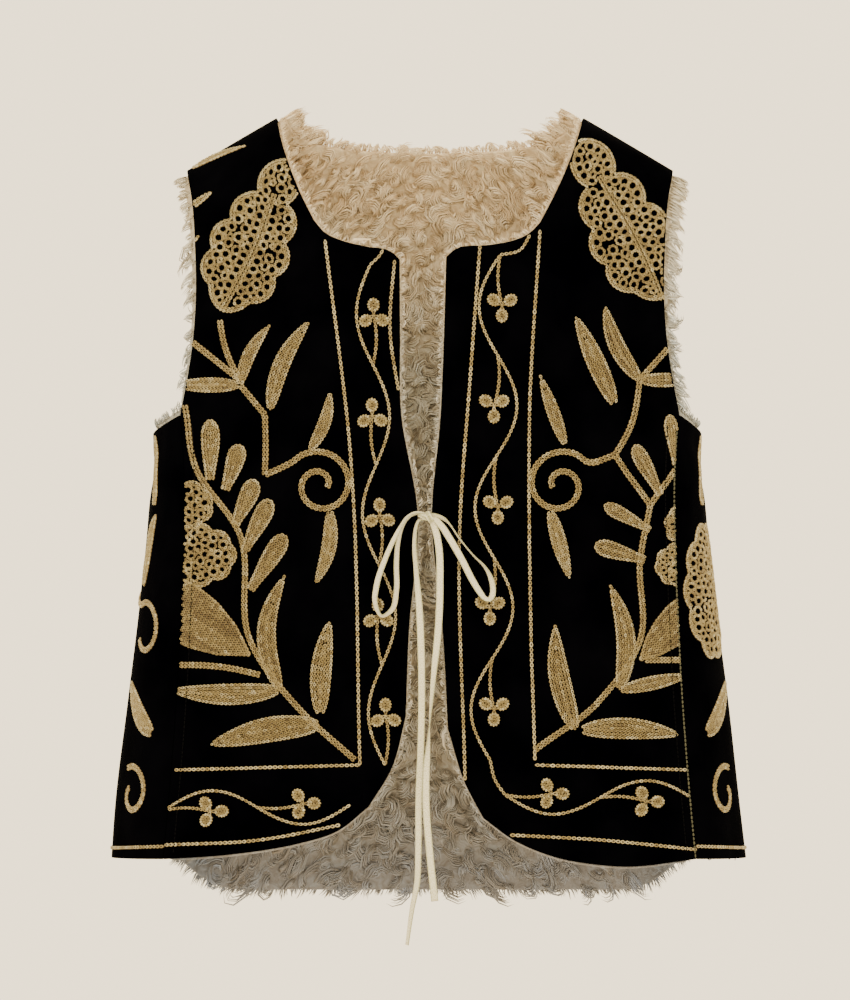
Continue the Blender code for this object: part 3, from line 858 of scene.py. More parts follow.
# Routes of the tapes: x, y, z and how far the tape's face turns from straight ahead, in degrees.
TIE_LEADS = {
    "right": ((-0.0073, -0.1256, -0.3045, 60), (-0.0057, -0.1284, -0.3047, 50)),
    "left": ((-0.0003, -0.1256, -0.3045, -60), (-0.0016, -0.1284, -0.3047, -50)),
}
TIE_LOOPS = {
    "right": (
        (-0.0068, -0.1328, -0.3032, 76),
        (-0.0114, -0.1326, -0.3032, 77),
        (-0.0168, -0.1326, -0.3062, 73),
        (-0.0218, -0.1326, -0.3135, 64),
        (-0.0268, -0.1326, -0.3228, 52),
        (-0.0330, -0.1324, -0.3365, 46),
        (-0.0402, -0.1322, -0.3590, 40),
        (-0.0412, -0.1322, -0.3700, 50),
        (-0.0358, -0.1324, -0.3808, 66),
        (-0.0290, -0.1324, -0.3765, 50),
        (-0.0252, -0.1322, -0.3612, 46),
        (-0.0252, -0.1318, -0.3417, 48),
        (-0.0240, -0.1314, -0.3260, 54),
        (-0.0210, -0.1314, -0.3145, 66),
        (-0.0168, -0.1314, -0.3076, 73),
        (-0.0114, -0.1320, -0.3042, 77),
        (-0.0068, -0.1324, -0.3040, 76),
    ),
    "left": (
        (0.0012, -0.1324, -0.3052, 55),
        (0.0052, -0.1320, -0.3060, 50),
        (0.0105, -0.1318, -0.3080, 62),
        (0.0145, -0.1317, -0.3118, 80),
        (0.0205, -0.1316, -0.3205, 84),
        (0.0319, -0.1316, -0.3347, 84),
        (0.0418, -0.1316, -0.3450, 70),
        (0.0458, -0.1318, -0.3530, 48),
        (0.0472, -0.1320, -0.3610, 40),
        (0.0464, -0.1323, -0.3660, 38),
        (0.0444, -0.1326, -0.3684, 52),
        (0.0414, -0.1328, -0.3676, 52),
        (0.0382, -0.1329, -0.3640, 36),
        (0.0340, -0.1330, -0.3576, 28),
        (0.0225, -0.1330, -0.3358, 20),
        (0.0145, -0.1331, -0.3222, 16),
        (0.0082, -0.1331, -0.3128, 22),
        (0.0030, -0.1330, -0.3080, 38),
    ),
}
TIE_TAILS = {
    "right": (
        (-0.0052, -0.1328, -0.3078, 74),
        (-0.0084, -0.1326, -0.3090, 72),
        (-0.0104, -0.1324, -0.3140, 66),
        (-0.0116, -0.1321, -0.3237, 60),
        (-0.0104, -0.1316, -0.3462, 50),
        (-0.0082, -0.1312, -0.3717, 22),
        (-0.0068, -0.1310, -0.4015, 0),
        (-0.0062, -0.1310, -0.4320, 0),
        (-0.0066, -0.1312, -0.4700, 10),
        (-0.0084, -0.1318, -0.5200, 16),
        (-0.0088, -0.1324, -0.5600, 30),
        (-0.0096, -0.1328, -0.5800, 38),
        (-0.0134, -0.1331, -0.6000, 52),
        (-0.0172, -0.1334, -0.6270, 66),
    ),
    "left": (
        (0.0008, -0.1328, -0.3092, 45),
        (0.0026, -0.1327, -0.3126, 28),
        (0.0046, -0.1326, -0.3182, 12),
        (0.0062, -0.1326, -0.3264, 3),
        (0.0074, -0.1326, -0.3580, -4),
        (0.0058, -0.1330, -0.3950, 5),
        (0.0032, -0.1338, -0.4200, 36),
        (0.0008, -0.1348, -0.4470, 68),
        (-0.0004, -0.1354, -0.4630, 92),
        (-0.0014, -0.1360, -0.4780, 122),
        (-0.0026, -0.1364, -0.4930, 156),
        (-0.0030, -0.1366, -0.5185, 172),
        (-0.0002, -0.1362, -0.5580, 180),
        (0.0036, -0.1360, -0.5940, 180),
    ),
}
TIE_STEP = 0.0023


def rounded_band():
    """Section of the tape as across and through: soft edges and a shallow channel down its middle."""
    bpy.ops.mesh.primitive_circle_add(vertices=16, radius=1.0, fill_type="NOTHING")
    ring = bpy.context.object
    points = np.array([vertex.co[:2] for vertex in ring.data.vertices])
    bpy.data.objects.remove(ring, do_unlink=True)
    across = np.sign(points[:, 0]) * np.abs(points[:, 0]) ** 0.6
    through = np.sign(points[:, 1]) * np.abs(points[:, 1]) ** 0.7
    through *= 1 - TAPE_CHANNEL * np.exp(-((across / 0.45) ** 2))
    return np.column_stack([across * TAPE_WIDE / 2, through * TAPE_THICK / 2])


def make_tape_piece(name, route, section):
    """A tape swept along a route, its face turned as the route says; ends are capped."""
    route = np.array(route, dtype=float)
    travelled = lengths(route[:, :3])
    steps = int(travelled[-1] / TIE_STEP)
    fine = read_smoothly(np.column_stack([travelled, route]), np.linspace(0, travelled[-1], steps + 1))
    path, turn = fine[:, :3], np.radians(fine[:, 3])[:, None]
    ahead = np.gradient(path, axis=0)
    ahead /= np.linalg.norm(ahead, axis=1, keepdims=True)
    facing = np.array([0.0, -1.0, 0.0]) + ahead * ahead[:, 1:2]
    facing /= np.linalg.norm(facing, axis=1, keepdims=True)
    aside = np.cross(ahead, facing)
    face = facing * np.cos(turn) + aside * np.sin(turn)
    wide = np.cross(ahead, face)
    count = len(section)
    rings = (
        path[:, None]
        + wide[:, None] * section[None, :, :1]
        + face[:, None] * section[None, :, 1:]
    )
    points = np.concatenate([rings.reshape(-1, 3), path[:1], path[-1:]])
    ring, step = np.meshgrid(np.arange(count), np.arange(len(path) - 1))
    a, b = step * count + ring, step * count + (ring + 1) % count
    c, d = b + count, a + count
    walls = np.concatenate([np.stack([a, b, c], -1), np.stack([a, c, d], -1)]).reshape(-1, 3)
    first, last = len(points) - 2, len(points) - 1
    near = np.arange(count)
    far = near + (len(path) - 1) * count
    caps = np.concatenate([
        np.column_stack([np.full(count, first), np.roll(near, -1), near]),
        np.column_stack([np.full(count, last), far, np.roll(far, -1)]),
    ])
    run = np.append(lengths(path).repeat(count), [0, lengths(path)[-1]])
    around = np.append(np.tile(section[:, 0], len(path)), [0, 0])
    uv = np.column_stack([run, around])
    piece = mesh_piece(name, points, np.concatenate([walls, caps]), TAPE, uv=uv, uv_name="tape")
    with all_in_edit_mode(piece):
        bpy.ops.mesh.normals_make_consistent(inside=False)
    return piece, path


def make_knot():
    """The bow's knot: two turns of the tape pulled tight over the crossing."""
    nothing_selected()
    bands = []
    for turn, (shift, tilt, wide) in enumerate(KNOT_TURNS):
        bpy.ops.mesh.primitive_torus_add(
            major_radius=KNOT_RADIUS, minor_radius=KNOT_ROLL, major_segments=28, minor_segments=12,
            rotation=(0, math.pi / 2, 0),
        )
        bands.append(bpy.context.object)
        bpy.ops.object.transform_apply(location=False, rotation=True, scale=True)
        with all_in_edit_mode(bands[-1]):
            bpy.ops.transform.resize(value=(KNOT_SHAPE[0] * wide, KNOT_SHAPE[1], KNOT_SHAPE[2]))
            bpy.ops.transform.rotate(value=tilt, orient_axis="Y", center_override=(0, 0, 0))
            bpy.ops.transform.translate(value=(shift, -KNOT_TURN_STEP * turn, 0))
    select_only(bands[0])
    bands[1].select_set(True)
    bpy.ops.object.join()
    knot = bpy.context.object
    knot.name = knot.data.name = "tie_bow_knot"
    with all_in_edit_mode(knot):
        bpy.ops.transform.translate(value=KNOT_AT)
    knot.data.uv_layers[0].name = "tape"
    # The knot's UV runs round each turn, so the tape's painted edge shade falls where each turn rolls
    # under.
    for loop in knot.data.uv_layers["tape"].data:
        loop.uv = (loop.uv[0] * 0.03, math.cos(2 * math.pi * loop.uv[1]) * TAPE_WIDE / 2)
    knot.data.shade_smooth()
    knot.data.materials.clear()
    knot.data.materials.append(TAPE)
    return knot


def make_ties():
    """Both ties with the knot of their bow."""
    section = rounded_band()
    knot = make_knot()
    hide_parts("tie_knot")
    for side in ("right", "left"):
        route = TIE_LEADS[side] + ((*KNOT_AT, 50),) + TIE_LOOPS[side]
        inside = ((KNOT_AT[0], KNOT_AT[1], KNOT_AT[2] - 0.0012, 45),)
        route = route + inside + TIE_TAILS[side]
        tie, path = make_tape_piece(f"tie_{side}", route, section)
        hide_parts(f"tie_{side}_lead", f"tie_{side}_loop", f"tie_{side}_tail")
        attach(tie, "root")
    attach(knot, "root")


make_ties()

# ---------------------------------------------------------------- velvet and pile ground
VELVET_FINENESS = 4
PILE_FINENESS = 2
PILE_GROUND_THICK = 0.0032
VELVET_ROUNDING = 0.0006
PILE_ROUNDING = 0.0010


def lay_grid(panel, places, depth=0.0):
    """A grid of cloth, laid on a panel's face at places."""
    rows, columns = places.shape[:2]
    nothing_selected()
    bpy.ops.mesh.primitive_grid_add(x_subdivisions=columns - 1, y_subdivisions=rows - 1, size=2)
    cloth = bpy.context.object
    points = panel.at(places, depth)
    cloth.data.vertices.foreach_set("co", points.astype(np.float32).ravel())
    return cloth


def face_out(cloth, out):
    """Turns an open sheet's faces so that they look out of the garment."""
    with all_in_edit_mode(cloth):
        bpy.ops.mesh.remove_doubles(threshold=1e-5)
        bpy.ops.mesh.normals_make_consistent(inside=False)
    facing = sum(face.area * face.normal.dot(out) for face in cloth.data.polygons)
    if facing < 0:
        with all_in_edit_mode(cloth):
            bpy.ops.mesh.flip_normals()


def sheet_of(name, panel, sheets, thick, edge, material):
    """One sheet from grids that meet, given its thickness inwards and softly rounded edges."""
    nothing_selected()
    for sheet in sheets:
        sheet.select_set(True)
    bpy.context.view_layer.objects.active = sheets[0]
    if len(sheets) > 1:
        bpy.ops.object.join()
    cloth = bpy.context.object
    cloth.name = cloth.data.name = name
    face_out(cloth, panel.out)
    flat_area = sum(face.area for face in cloth.data.polygons)
    wall = cloth.modifiers.new("wall", "SOLIDIFY")
    wall.thickness, wall.offset, wall.use_even_offset = thick, -1, True
    rounded = cloth.modifiers.new("edge", "BEVEL")
    rounded.width, rounded.segments, rounded.limit_method = edge, 2, "ANGLE"
    rounded.angle_limit = math.radians(50)
    apply_modifiers(cloth)
    cloth.data.shade_smooth()
    cloth.data.materials.clear()
    cloth.data.materials.append(material)
    return cloth, flat_area


def make_velvet_panel(name):
    """A panel's velvet and its flat area."""
    panel = PANELS[name]
    grids, _ = grids_of(name, VELVET_FINENESS, False)
    sheets = [lay_grid(panel, grid) for grid in grids]
    return sheet_of(f"velvet_{name}", panel, sheets, VELVET_THICK, VELVET_ROUNDING, VELVET)


def make_pile_panel(name):
    """The ground of a panel's pile and its flat area."""
    panel = PANELS[name]
    grids, free = grids_of(name, PILE_FINENESS, True)
    depth = VELVET_THICK + LAYER_GAP + PILE_EDGE_SINK * free
    sheets = [lay_grid(panel, grid, depth) for grid in grids]
    return sheet_of(f"pile_{name}", panel, sheets, PILE_GROUND_THICK, PILE_ROUNDING, PILE_GROUND)


SHEETS = {}
for panel_name in PANELS:
    SHEETS[f"velvet_{panel_name}"] = make_velvet_panel(panel_name)
    SHEETS[f"pile_{panel_name}"] = make_pile_panel(panel_name)

# ---------------------------------------------------------------- chain stitch
# The needlework is drawn in fine units, 1300 to the metre, across from the left of the drawing
# and down, as the worn vest is seen from straight ahead at eye distance. The sides' own drawings
# run round from the front's seam, and the back's runs out from its centre.
DRAWN_UNIT = 1 / 1300
DRAWN_CENTRE = 430
DRAWN_TOP = 118
# Kinds of row: length of a stitch, width of its loop, in drawn units, and how far its eye closes.
BORDER = (5.0, 4.0, -0.45)
VINE = (4.6, 3.6, -0.35)
STEM = (4.4, 3.8, -0.35)
FILL = (4.2, 3.5, -0.40)
FINE = (3.6, 3.5, 0.00)
BERRY = (2.5, 3.7, 0.80)
THREAD = (4.2, 1.0, 1.00)
SEAM = (4.2, 1.8, 1.00)
ROW_GAP = 3.1
LINK_OVERLAP = 1.22
LINK_HIGH = 0.0011
CLEAR_OF_EDGE = 0.0011
BERRY_RADIUS = 6.6


def seen_places(points):
    """Places on a front of points drawn as seen from straight ahead."""
    across = (points[:, 0] - DRAWN_CENTRE) * DRAWN_UNIT
    up = (DRAWN_TOP - points[:, 1]) * DRAWN_UNIT - EYE_HEIGHT
    nearness = np.full(len(points), 0.976)
    for _ in range(6):
        x = across * nearness
        drop = drop_at(x, EYE_HEIGHT + up * nearness)
        nearness = 1 + front_points(x, drop)[:, 1] / EYE_DISTANCE
    return np.column_stack([x, drop])


def round_places(face):
    """The same for a side, drawn unrolled from the front's seam."""
    heights = np.linspace(-0.62, -0.21, 42)
    t = np.linspace(0, 1, 30)
    arcs = [lengths(face(t, np.full(30, height)))[-1] for height in heights]

    def places(points):
        z = (DRAWN_TOP - points[:, 1]) * DRAWN_UNIT
        return np.column_stack([points[:, 0] * DRAWN_UNIT / np.interp(z, heights, arcs), z])

    return places


def back_places(points):
    """Places on the back, drawn out from its centre."""
    x = points[:, 0] * DRAWN_UNIT
    return np.column_stack([x, drop_at(x, (DRAWN_TOP - points[:, 1]) * DRAWN_UNIT)])


DRAWING = {
    "front_right": seen_places,
    "front_left": seen_places,
    "side_right": round_places(right_side_points),
    "side_left": round_places(left_side_points),
    "back": back_places,
}


def around(name, k, pile):
    """A panel's outline as a closed line of places, k times finer than its coarsest grid."""
    grids, _ = grids_of(name, k, pile)
    if len(grids) == 1:
        grid = grids[0]
        return np.concatenate([grid[0], grid[:, -1], grid[-1][::-1], grid[::-1, 0]])
    right, left = grids
    neck = slice(0, ROWS_BACK_NECK * k + 1)
    return np.concatenate([
        left[0], left[:, -1], left[-1][::-1], right[-1], right[::-1, -1], right[0][::-1],
        right[neck, 0], left[neck, 0][::-1],
    ])


def inside(points, outline):
    """Which points lie in a closed outline, and how far each is from its line."""
    a, b = outline, np.roll(outline, -1, axis=0)
    x, y = points[:, 0, None], points[:, 1, None]
    crosses = (a[:, 1] > y) != (b[:, 1] > y)
    slope = (b[:, 0] - a[:, 0]) / np.where(b[:, 1] == a[:, 1], 1e-12, b[:, 1] - a[:, 1])
    within = (crosses & (x < a[:, 0] + (y - a[:, 1]) * slope)).sum(axis=1) % 2 == 1
    run = b - a
    along = ((x - a[:, 0]) * run[:, 0] + (y - a[:, 1]) * run[:, 1]) / ((run**2).sum(1) + 1e-15)
    along = np.clip(along, 0, 1)
    away = np.hypot(x - a[:, 0] - along * run[:, 0], y - a[:, 1] - along * run[:, 1]).min(axis=1)
    return within, away


class Needlework:
    """Rows of chain stitch worked on one panel; each row becomes its stitches' places and sizes."""

    def __init__(self, name, stretch=1.0):
        self.panel, self.places, self.stretch = PANELS[name], DRAWING[name], stretch
        self.scale = np.array([self.panel.wide, 1.0])
        self.border = around(name, 2, False) * self.scale
        self.stitches = []

    def row(self, points, kind=FILL, tone=0.0, smooth=True, within=None):
        """A row of chain stitch along a drawn line; tone lightens or darkens its yarn."""
        points = np.array(points, dtype=float)
        travelled = lengths(points)
        if travelled[-1] < kind[0] * 0.8:
            return
        steps = max(4, int(travelled[-1] / 1.2))
        if smooth and len(points) > 2:
            fine = spread_along(points, steps)
        else:
            wanted = np.linspace(0, travelled[-1], steps + 1)
            fine = np.column_stack([np.interp(wanted, travelled, c) for c in points.T])
        self.run(self.places(fine), kind, tone, fine, within)

    def run(self, places, kind, tone=0.0, drawn=None, within=None, lift=0.0001):
        """The same along a line of places on the panel."""
        cloth = self.panel.at(places, -lift)
        travelled = lengths(cloth)
        count = max(1, round(travelled[-1] / (kind[0] * self.stretch * DRAWN_UNIT)))
        middles = (np.arange(count) + 0.5) * travelled[-1] / count
        reach = travelled[-1] / count / 2

        def read(where, line):
            return np.column_stack([np.interp(where, travelled, column) for column in line.T])

        place = read(middles, places)
        ahead = read(middles + reach, cloth) - read(middles - reach, cloth)
        long = np.linalg.norm(ahead, axis=1, keepdims=True)
        ahead = ahead / np.maximum(long, 1e-9)
        wide = np.full((count, 1), kind[1] * DRAWN_UNIT)
        keep, away = inside(place * self.scale, self.border)
        keep &= away > CLEAR_OF_EDGE
        if within is not None:
            keep &= inside(read(middles, drawn), within)[0]
        tones = np.full((count, 2), (tone, kind[2]))
        rows = (read(middles, cloth), ahead, self.panel.normal(place), long, wide, tones)
        self.stitches.append(np.hstack(rows)[keep])

    def berry(self, centre, meet, radius=BERRY_RADIUS):
        """A berry: close rings of stitches, a little longer towards the point where its stem ends."""
        centre, meet = np.array(centre, dtype=float), np.array(meet, dtype=float)
        towards = (meet - centre) / max(np.linalg.norm(meet - centre), 1e-9)
        aside = np.array([-towards[1], towards[0]])
        turn = np.linspace(0, 2 * math.pi, 25)[:, None]
        for out, tone in ((radius - 1.6, 0.12), (radius - 3.7, -0.20), (radius - 5.6, -0.35)):
            if out > 0.4:
                ring = centre + out * (1.16 * np.cos(turn) * towards + 0.95 * np.sin(turn) * aside)
                self.row(ring, BERRY, tone, smooth=False)

    def rows_across(self, line, half, kind=FILL, rim=0.18, row_gap=ROW_GAP):
        """Rows round and inside one another that fill a band of changing half width along a line."""
        aside = shifted(line, 1.0) - line
        room = half - 1.7
        pairs = math.ceil(2 * room.max() / row_gap)
        gap = 2 * room.max() / max(pairs, 1)
        for step in range(pairs // 2 + 1):
            middle = np.abs(room) <= 0.5 * gap
            middle &= (room <= 0) | (room.max() <= 0.5 * gap)
            if step == 0:
                middle &= half > 1.0
            # The middle row runs on a little under the pair that opens from it.
            middle[1:] |= middle[:-1]
            middle[:-1] |= middle[1:]
            for stretch in np.split(np.arange(len(line)), np.flatnonzero(np.diff(middle)) + 1):
                if middle[stretch[0]] and len(stretch) > 2:
                    self.row(line[stretch], kind)
            if room.max() <= 0.25 * gap:
                break
            opened = np.flatnonzero(room > 0)
            pair = slice(opened[0], opened[-1] + 1)
            out = np.maximum(room[pair], 0)[:, None] * aside[pair]
            # A row goes up one side, round the tip and down the other.
            there_and_back = np.concatenate([line[pair] + out, (line[pair] - out)[::-1]])
            tone = rim if step == 0 else rng.uniform(-0.22, 0.0)
            self.row(there_and_back, kind, tone, smooth=False)
            room = room - gap

    def leaf(self, axis, width, tip=0.62, belly=0.44, base=0.45, row_gap=ROW_GAP):
        """A leaf from its base to its tip; belly says where along it is widest."""
        s = np.linspace(0, 1, 61)
        warped = s ** (math.log(0.5) / math.log(belly))
        power = np.where(warped < 0.5, base, tip)
        half = width / 2 * np.sin(math.pi * warped) ** power
        self.rows_across(spread_along(axis, 60), half, row_gap=row_gap)

    def club(self, axis, width):
        """A bud: narrow at its base and round at its end."""
        s = np.linspace(0, 1, 61)
        rising = 0.50 + 0.50 * np.sin(np.clip(s / 0.76, 0, 1) * math.pi / 2) ** 1.6
        round_end = np.sqrt(np.maximum(1 - (np.maximum(s - 0.76, 0) / 0.24) ** 2, 0))
        self.rows_across(spread_along(axis, 60), width / 2 * rising * round_end)

    def stem(self, line, rows=2, kind=STEM, gap=3.1):
        """A stem of rows side by side."""
        fine = spread_along(line, max(6, int(lengths(np.array(line, dtype=float))[-1] / 3)))
        for i in range(rows):
            self.row(shifted(fine, (i - (rows - 1) / 2) * gap), kind)

    def sprig(self, line, berries, radius=BERRY_RADIUS):
        """A stem that ends where its three berries meet."""
        berries = np.array(berries, dtype=float)
        meet = berries.mean(axis=0)
        self.row(np.vstack([np.array(line, dtype=float)[:-1], meet]), STEM)
        for centre in berries:
            self.row([meet, centre + (meet - centre) * 0.45], STEM, -0.1, smooth=False)
            self.berry(centre, meet, radius)

    def lace(self, bumps, vein=None, hole=4.4, widen=1.0):
        """Openwork flower: bumps round its edge, a vein, and a net of little rings inside.

        Where the cloth turns away from the front, widen works the net that many times as wide."""
        wide = np.array([widen, 1.0])
        bumps = [spread_along(bump, 14) for bump in bumps]
        middle = np.concatenate(bumps).mean(axis=0)
        edge = np.concatenate(bumps) / wide
        vein_line = None if vein is None else spread_along(vein, 40) / wide
        rings = []

        def open_rings(spots, least):
            """Opens the widest ring that fits at each spot, if that is at least as asked."""
            within, away = inside(spots, edge)
            for spot, free in zip(spots[within], away[within] - 2.8):
                if vein is not None:
                    free = min(free, np.hypot(*(vein_line - spot).T).min() - 2.6)
                if rings and free > least:
                    x, y, radius = np.array(rings).T
                    free = min(free, (np.hypot(x - spot[0], y - spot[1]) / 0.9 - radius).min())
                if free > least:
                    rings.append((*spot, min(free, hole)))

        for bump in bumps:
            towards = np.sign(np.cross(bump[-1] - bump[0], middle - bump[0]))
            self.row(shifted(bump, towards * 0.4), FILL, 0.18)
            self.row(shifted(bump, towards * 3.2), FILL)
            line = shifted(bump / wide, towards * (hole + 2.9))
            open_rings(spread_along(line, max(1, int(lengths(line)[-1] / (hole * 1.9)))), 0.8 * hole)
        if vein is not None:
            self.stem(vein, 2, FILL)
            for way in (-1, 1):
                line = shifted(vein_line, way * (hole + 2.7))
                open_rings(spread_along(line, int(lengths(line)[-1] / (hole * 1.9))), 0.8 * hole)
        for least in (0.85 * hole, 0.52 * hole):
            open_rings(rng.uniform(edge.min(axis=0), edge.max(axis=0), (1200, 2)), least)
        turn = np.linspace(0, 2 * math.pi, 13)
        for x, y, radius in rings:
            start, squash = rng.uniform(0, 6), rng.uniform(0.76, 1.10)
            across, down = np.cos(turn) * radius * squash, np.sin(turn) * radius
            cos, sin = math.cos(start), math.sin(start)
            ring = np.column_stack([x + across * cos - down * sin, y + across * sin + down * cos])
            ring = (ring + rng.uniform(-0.5, 0.5, 2)) * wide
            self.row(ring, FINE, rng.uniform(-0.25, 0.1), smooth=False)

    def filled(self, outline, start, end, gap=2.7):
        """A shape filled solid with straight rows that run the way from start to end."""
        outline = np.array(outline, dtype=float)
        way = np.array(end, dtype=float) - start
        way /= np.linalg.norm(way)
        aside = np.array([-way[1], way[0]])
        along, over = outline @ way, outline @ aside
        for offset in np.arange(over.min() + 1.5, over.max(), gap):
            line = [way * along.min() + aside * offset, way * along.max() + aside * offset]
            self.row(line, FILL, rng.uniform(-0.50, -0.05), smooth=False, within=outline)
        closed = np.concatenate([outline, outline[:1]])
        self.row(closed, FILL, -0.05, smooth=False)


# ---------------------------------------------------------------- the drawing of each panel
# Every shape comes from the rules below. The fronts' motifs are placed in steps of 5 units,
# the sides' front halves in equal bands, and the rest to a design of its own.
BERRY_OUT = 10.0
BERRY_TURNS = (0.0, 2.15, -2.15)
HOLLOW = 0.15
LOBE_BULGE = 0.27
BASE_BULGE = 0.42


def bowed(base, tip, bow=0.0):
    """A line from base to tip that bows aside by a share of its length."""
    base, tip = np.array(base, dtype=float), np.array(tip, dtype=float)
    s = np.linspace(0, 1, 7)[:, None]
    aside = np.array([base[1] - tip[1], tip[0] - base[0]])
    return base + (tip - base) * s + aside * bow * np.sin(math.pi * s)


def arc(centre, across, down, first, last, shrink=1.0):
    """A turn about a centre between two angles in degrees; it winds in where it shrinks."""
    count = max(6, int(abs(last - first) / 20))
    turn = np.radians(np.linspace(first, last, count))
    size = np.linspace(1.0, shrink, count)
    return np.column_stack(
        [centre[0] + across * size * np.cos(turn), centre[1] + down * size * np.sin(turn)]
    )


def scallop(begin, finish, centre, bulge=LOBE_BULGE):
    """One rounded lobe of a flower's edge, standing out from its centre."""
    t = np.linspace(0, 1, 9)[:, None]
    chord = finish - begin
    out = np.array([chord[1], -chord[0]])
    out *= np.sign(out @ ((begin + finish) / 2 - centre))
    return begin + chord * t + out * bulge * np.sin(math.pi * t) ** 0.7


def tall_flower(tip, base, wide, lobes=4):
    """The edge of a flower that widens from its tip to a round base, lobe by lobe, and its vein."""
    tip, base = np.array(tip, dtype=float), np.array(base, dtype=float)
    way = base - tip
    aside = np.array([-way[1], way[0]]) / np.linalg.norm(way)
    s = 0.86 * np.linspace(0, 1, lobes + 1) ** 0.9
    half = wide / 2 * np.sin(math.pi * s**1.5) ** 0.8
    one = tip + way * s[:, None] + aside * half[:, None]
    other = tip + way * s[:, None] - aside * half[:, None]
    centre = tip + way * 0.6
    edge = [scallop(a, b, centre) for a, b in zip(one[:-1], one[1:])]
    edge.append(scallop(one[-1], other[-1], centre, BASE_BULGE))
    edge += [scallop(a, b, centre) for a, b in zip(other[:0:-1], other[-2::-1])]
    return edge, bowed(base - way * 0.03, tip + way * 0.22, 0.03)


def round_flower(centre, across, down, lobes):
    """The edge of a round flower; one centred on a seam is cut by it."""
    knots = arc(centre, across * 0.88, down * 0.88, -90, 270)
    knots = spread_along(knots, lobes)
    return [scallop(a, b, np.array(centre, dtype=float)) for a, b in zip(knots[:-1], knots[1:])]


def pod(tip, through, width):
    """A leaf-shaped outline from its tip through the middle of its widest place."""
    line = bowed(tip, 2 * np.array(through, dtype=float) - tip)
    half = width / 2 * np.sin(np.linspace(0, math.pi, len(line))) ** 0.8
    aside = shifted(line, 1.0) - line
    return np.concatenate([line + aside * half[:, None], (line - aside * half[:, None])[::-1]])


def vine(work, start, finish, swings, sway, first, sprigs_run_back=False):
    """A vine that swings about a straight way, with a sprig of berries in each bend's hollow."""
    start, finish = np.array(start, dtype=float), np.array(finish, dtype=float)
    run = finish - start
    way = run / np.linalg.norm(run)
    aside = np.array([-way[1], way[0]])
    s = np.linspace(0, 1, 8 * swings + 1)[:, None]
    work.row(start + run * s + first * sway * np.sin(math.pi * swings * s) * aside, VINE, 0.18)
    pointing = -way if sprigs_run_back else way
    for bend in range(swings):
        crest = first * (-1) ** bend
        root = start + run * (bend + sprigs_run_back) / swings
        hollow = start + run * (bend + 0.5) / swings - aside * crest * sway * HOLLOW
        berries = []
        for turn in BERRY_TURNS:
            cos, sin = math.cos(turn), math.sin(turn)
            turned = (pointing[0] * cos - pointing[1] * sin, pointing[0] * sin + pointing[1] * cos)
            berries.append(hollow + BERRY_OUT * np.array(turned))
        work.sprig(bowed(root, hollow, 0.06 * crest), berries)


SPIRAL_SHRINK = 0.20
# A front's design. Flower: tip, base, width. Leaves: base, tip, bow, width. Stems: base, tip, bow.
# Buds: base, tip, width. Vines: the row that leads in, if any, then start, finish, swings, sway, the
# way of the first swing and whether sprigs run back. Tendril: centre, across, down, angles. Pod: tip,
# through, width. Pod rows: the way its rows run, from start to end. Round flowers: centre, across,
# down, lobes. Hole: the same measure of the net for each round flower.
FrontDesign = collections.namedtuple(
    "FrontDesign",
    "flower borders branch stems leaves buds vines tendril_root tendril pod pod_rows round_flowers hole",
)
RIGHT_DESIGN = FrontDesign(
    flower=((290, 160), (220, 315), 68),
    borders=(
        ((325, 240), (350, 450), (360, 765)), ((360, 765), (175, 770)),
        ((395, 255), (390, 330), (400, 400)), ((165, 845), (260, 840), (340, 825)),
    ),
    branch=((185, 405), (195, 465), (240, 535), (250, 640), (300, 710), (355, 760)),
    stems=(
        ((220, 320), (240, 380), 0.06), ((190, 340), (240, 380), 0.0),
        ((240, 385), (265, 415), 0.0), ((265, 415), (265, 475), 0.0),
        ((180, 665), (260, 675), -0.04),
    ),
    leaves=(
        ((240, 385), (170, 385), 0.0, 16), ((240, 385), (270, 325), -0.08, 14),
        ((270, 410), (310, 320), -0.08, 18), ((310, 450), (330, 390), 0.08, 14),
        ((330, 510), (315, 585), -0.08, 16), ((280, 690), (285, 575), -0.14, 20),
        ((320, 715), (330, 620), -0.04, 22), ((320, 725), (210, 745), 0.04, 26),
        ((280, 690), (170, 690), -0.04, 22), ((180, 215), (215, 190), 0.0, 8),
        ((185, 250), (200, 235), 0.0, 6),
    ),
    buds=(
        ((210, 480), (210, 420), 20), ((225, 490), (240, 445), 20), ((235, 525), (255, 480), 20),
        ((245, 550), (270, 500), 20), ((250, 590), (285, 535), 20),
    ),
    vines=(
        (((385, 245), (380, 255), (370, 265)), ((370, 265), (385, 765), 5, 15, 1, True)),
        (None, ((165, 810), (350, 805), 2, 18, -1)),
    ),
    tendril_root=(265, 475),
    tendril=((320, 485), 36, 36, -140, 380),
    pod=((250, 655), (180, 610), 58),
    pod_rows=((180, 610), (250, 655)),
    round_flowers=(((185, 505), 30, 24, 8), ((190, 555), 50, 31, 10)),
    hole=4.0,
)
